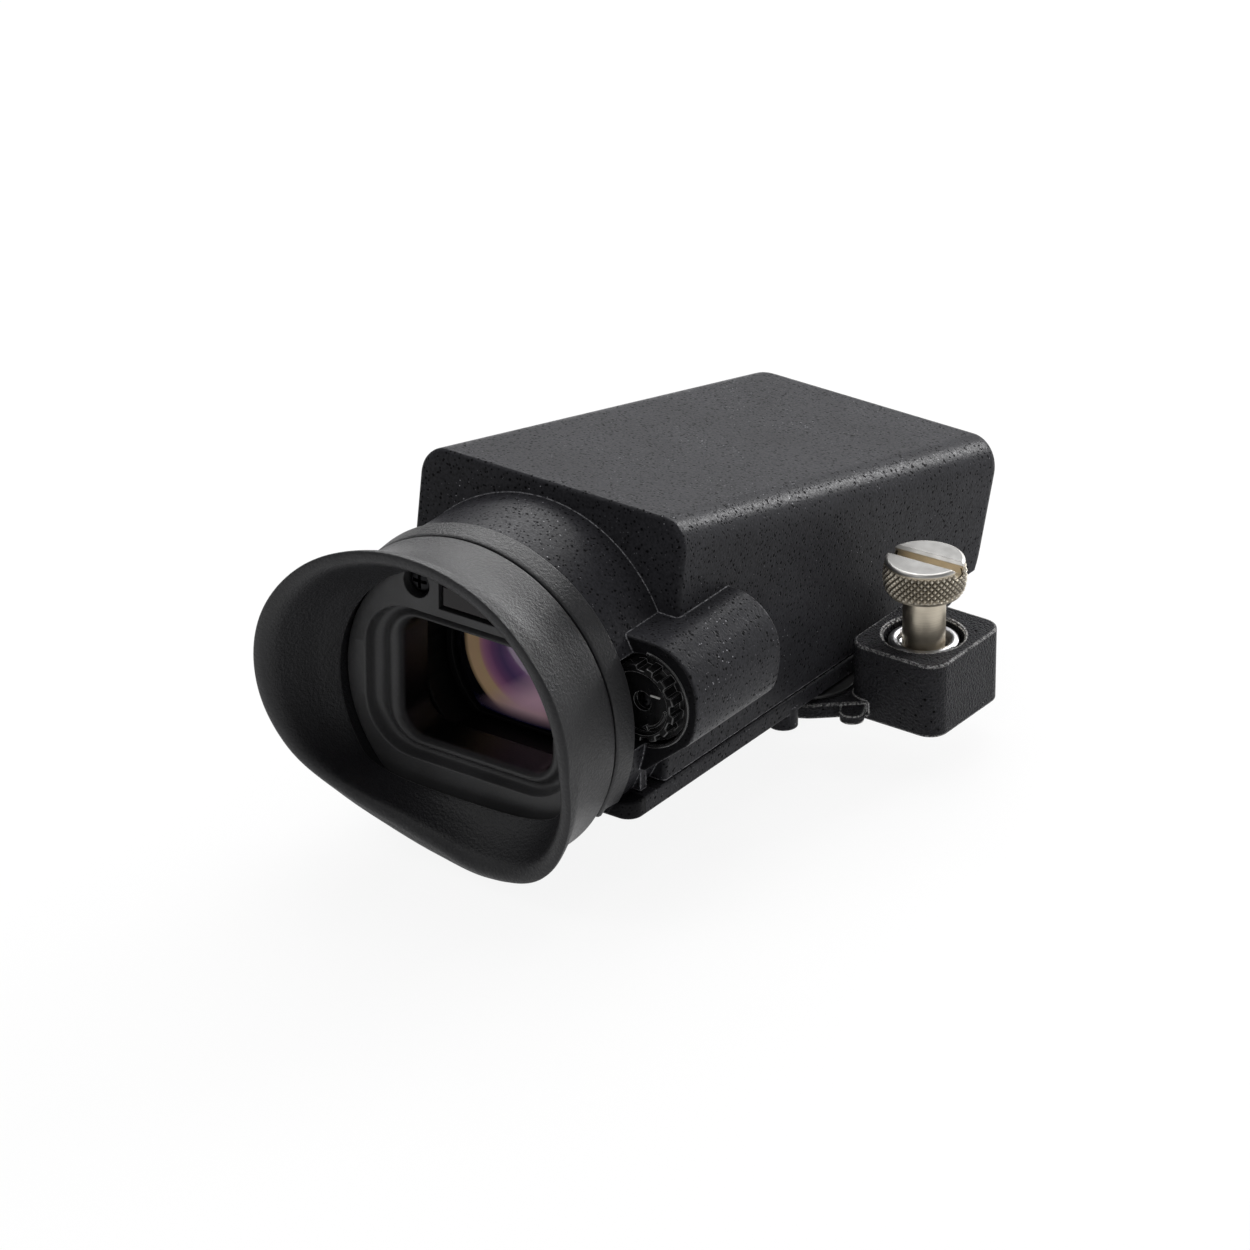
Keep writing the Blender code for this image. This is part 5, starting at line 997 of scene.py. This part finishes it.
def make_thumbscrew():
    groove_top, groove_low = -10.2 + GAP, -10.8 - GAP
    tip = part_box("thumb_screw")[0].z / MM - AXIS_HEIGHT
    pitch = 0.3
    ridges = int((groove_low - 1.6 - tip) / pitch)
    shank = lathe("captive_thumbscrew", [
        (0, 0.9), (SHANK, 0.9), (SHANK, groove_top), (SHANK - 0.3, groove_top),
        (SHANK - 0.3, groove_low), (SHANK, groove_low),
        *[(SHANK - 0.14 * (k % 2), groove_low - 0.5 - pitch * k) for k in range(ridges)],
        (SHANK, tip + 0.85), (2.4, tip), (0, tip),
    ], "Z", (*SCREW, 0), 96)
    fillet = lathe("fillet", [
        (0, 0.5), (3.6, 0.5), (3.6, -0.05), (3.42, -0.12), (3.27, -0.3), (SHANK, -0.6), (0, -0.6),
    ], "Z", (*SCREW, 0), 96)
    head = knurled_head("head")
    side = [(1.15, 3.5), (1.15, 4.85), (1.55, 5.32), (1.55, 7)]
    slot = prism("slot", side + [(-u, v) for u, v in side[::-1]], -8, 8, "X")
    slot.data.transform(Matrix.Translation((*SCREW, 0)) @ Matrix.Rotation(math.radians(3), 4, "Z"))
    combine(head, slot)
    join(shank, fillet)
    join(shank, head)
    dress(shank, NICKEL, "screw", "satin_nickel", "thumb_screw", sharp=18)


# --------------------------------------------------------------- inner pieces

def dress_nodes():
    """The CAD nodes that stay get a material for their slot; those deep inside get a darker black
    plastic instead, painted shade.
    """
    looks = {
        "rubber": RUBBER, "black_plastic": BLACK, "gloss_black": GLOSS, "lens_glass": LENS,
        "sensor_window": SENSOR, "satin_nickel": SMALL_NICKEL, "bright_steel": BRIGHT,
        "black_steel": BLACK_STEEL, "circuit_board": BOARD, "flex_amber": AMBER,
        "display_glass": PANEL, "brass": BRASS, "nylon": NYLON, "housing_paint": PAINT,
        "block_paint": BLOCK,
    }
    # pieces deep inside get painted shade instead of their slot's material
    inside = ("lens_barrel", "light_tunnel", "lens_carriage", "lens_retaining_ring", "eyecup_ring")
    for part in frame["record"]["subparts"]:
        mesh = frame["nodes"][part["node"]].data
        look = INNER_SHADE if part["node"] in inside else looks[part["material_slot"]]
        for index in range(max(1, len(mesh.materials))):
            if len(mesh.materials) > index:
                mesh.materials[index] = look
            else:
                mesh.materials.append(look)


dress_nodes()
make_housing()
make_cover()
make_cover_screws()
make_collar()
make_eyecup()
make_frame()
make_lens()
make_dial()
make_arm()
make_thumbscrew()


# ------------------------------------------------------- floor, light, camera

def make_floor():
    """A pale floor that the camera and reflections see as nearly white, with the object's shadow."""
    bm = bmesh.new()
    bmesh.ops.create_grid(bm, x_segments=8, y_segments=8, size=12)
    floor = new_object("floor", bm)
    material = bpy.data.materials.new("floor_pale")
    material.use_nodes = True
    tree = material.node_tree
    shader = tree.nodes["Principled BSDF"]
    shader.inputs["Base Color"].default_value = (0.86, 0.86, 0.86, 1)
    shader.inputs["Roughness"].default_value = 0.9
    shader.inputs["Specular IOR Level"].default_value = 0.1
    glow = tree.nodes.new("ShaderNodeEmission")
    glow.inputs["Strength"].default_value = 1.0
    path = tree.nodes.new("ShaderNodeLightPath")
    seen = path.outputs["Is Camera Ray"]
    for kind in ("Is Glossy Ray", "Is Transmission Ray"):
        either = tree.nodes.new("ShaderNodeMath")
        either.operation = "MAXIMUM"
        tree.links.new(seen, either.inputs[0])
        tree.links.new(path.outputs[kind], either.inputs[1])
        seen = either.outputs[0]
    share = tree.nodes.new("ShaderNodeMath")
    share.operation = "MULTIPLY"
    share.inputs[1].default_value = 0.9
    blend = tree.nodes.new("ShaderNodeMixShader")
    tree.links.new(seen, share.inputs[0])
    tree.links.new(share.outputs[0], blend.inputs[0])
    tree.links.new(shader.outputs[0], blend.inputs[1])
    tree.links.new(glow.outputs[0], blend.inputs[2])
    tree.links.new(blend.outputs[0], tree.nodes["Material Output"].inputs["Surface"])
    floor.data.materials.append(material)


def make_world(ambient):
    world = bpy.data.worlds.new("studio")
    bpy.context.scene.world = world
    world.use_nodes = True
    soft = world.node_tree.nodes["Background"]
    soft.inputs["Color"].default_value = (1, 1, 1, 1)
    soft.inputs["Strength"].default_value = ambient


def make_lamp(name, at, size, watts):
    """An area lamp that is turned to the middle of the object."""
    lamp = bpy.data.lights.new(name, "AREA")
    lamp.shape = "RECTANGLE"
    lamp.size, lamp.size_y = size
    lamp.energy = watts
    obj = bpy.data.objects.new(name, lamp)
    bpy.context.scene.collection.objects.link(obj)
    obj.location = at
    obj.rotation_euler = (Vector((0, 0, 0.025)) - Vector(at)).to_track_quat("-Z", "Y").to_euler()


AMBIENT = 0.25
LAMPS = (
    # name, place in m, size in m, watts
    ("softbox_top", (-0.2, 0.3, 0.95), (0.7, 0.6), 4.5),
    ("softbox_back", (-0.45, 0.8, 0.7), (1.0, 0.5), 10.0),
    ("softbox_rim", (0.2, 1.12, 0.43), (0.4, 0.2), 9.0),
    ("softbox_right", (0.95, 0.95, 0.28), (0.8, 0.45), 2.0),
    ("softbox_left", (-0.6, -0.55, 0.85), (0.4, 0.4), 1.8),
    ("softbox_front", (0.25, -0.95, 0.95), (0.35, 0.25), 0.9),
)
AZIMUTH, ELEVATION = 34.95218866, 27.21209956
CAMERA_AT = (0.64736309, -0.94221154, 0.60783977)
FOCAL_PIXELS, PHOTO_PIXELS, FILM_MM = 8770.413654882348, 1250, 36


def make_camera():
    azimuth, elevation = math.radians(AZIMUTH), math.radians(ELEVATION)
    right = Vector((math.cos(azimuth), math.sin(azimuth), 0))
    back = Vector((math.sin(azimuth) * math.cos(elevation), -math.cos(azimuth) * math.cos(elevation),
                   math.sin(elevation)))
    camera = bpy.data.cameras.new("camera")
    camera.sensor_width = FILM_MM
    camera.lens = FOCAL_PIXELS / PHOTO_PIXELS * FILM_MM
    camera.clip_end = 10
    obj = bpy.data.objects.new("camera", camera)
    bpy.context.scene.collection.objects.link(obj)
    turn = Matrix((right, back.cross(right), back)).transposed().to_4x4()
    obj.matrix_world = Matrix.Translation(CAMERA_AT) @ turn
    bpy.context.scene.camera = obj


make_floor()
make_world(AMBIENT)
for row in LAMPS:
    make_lamp(*row)
make_camera()
bpy.context.scene.view_settings.view_transform = "Standard"
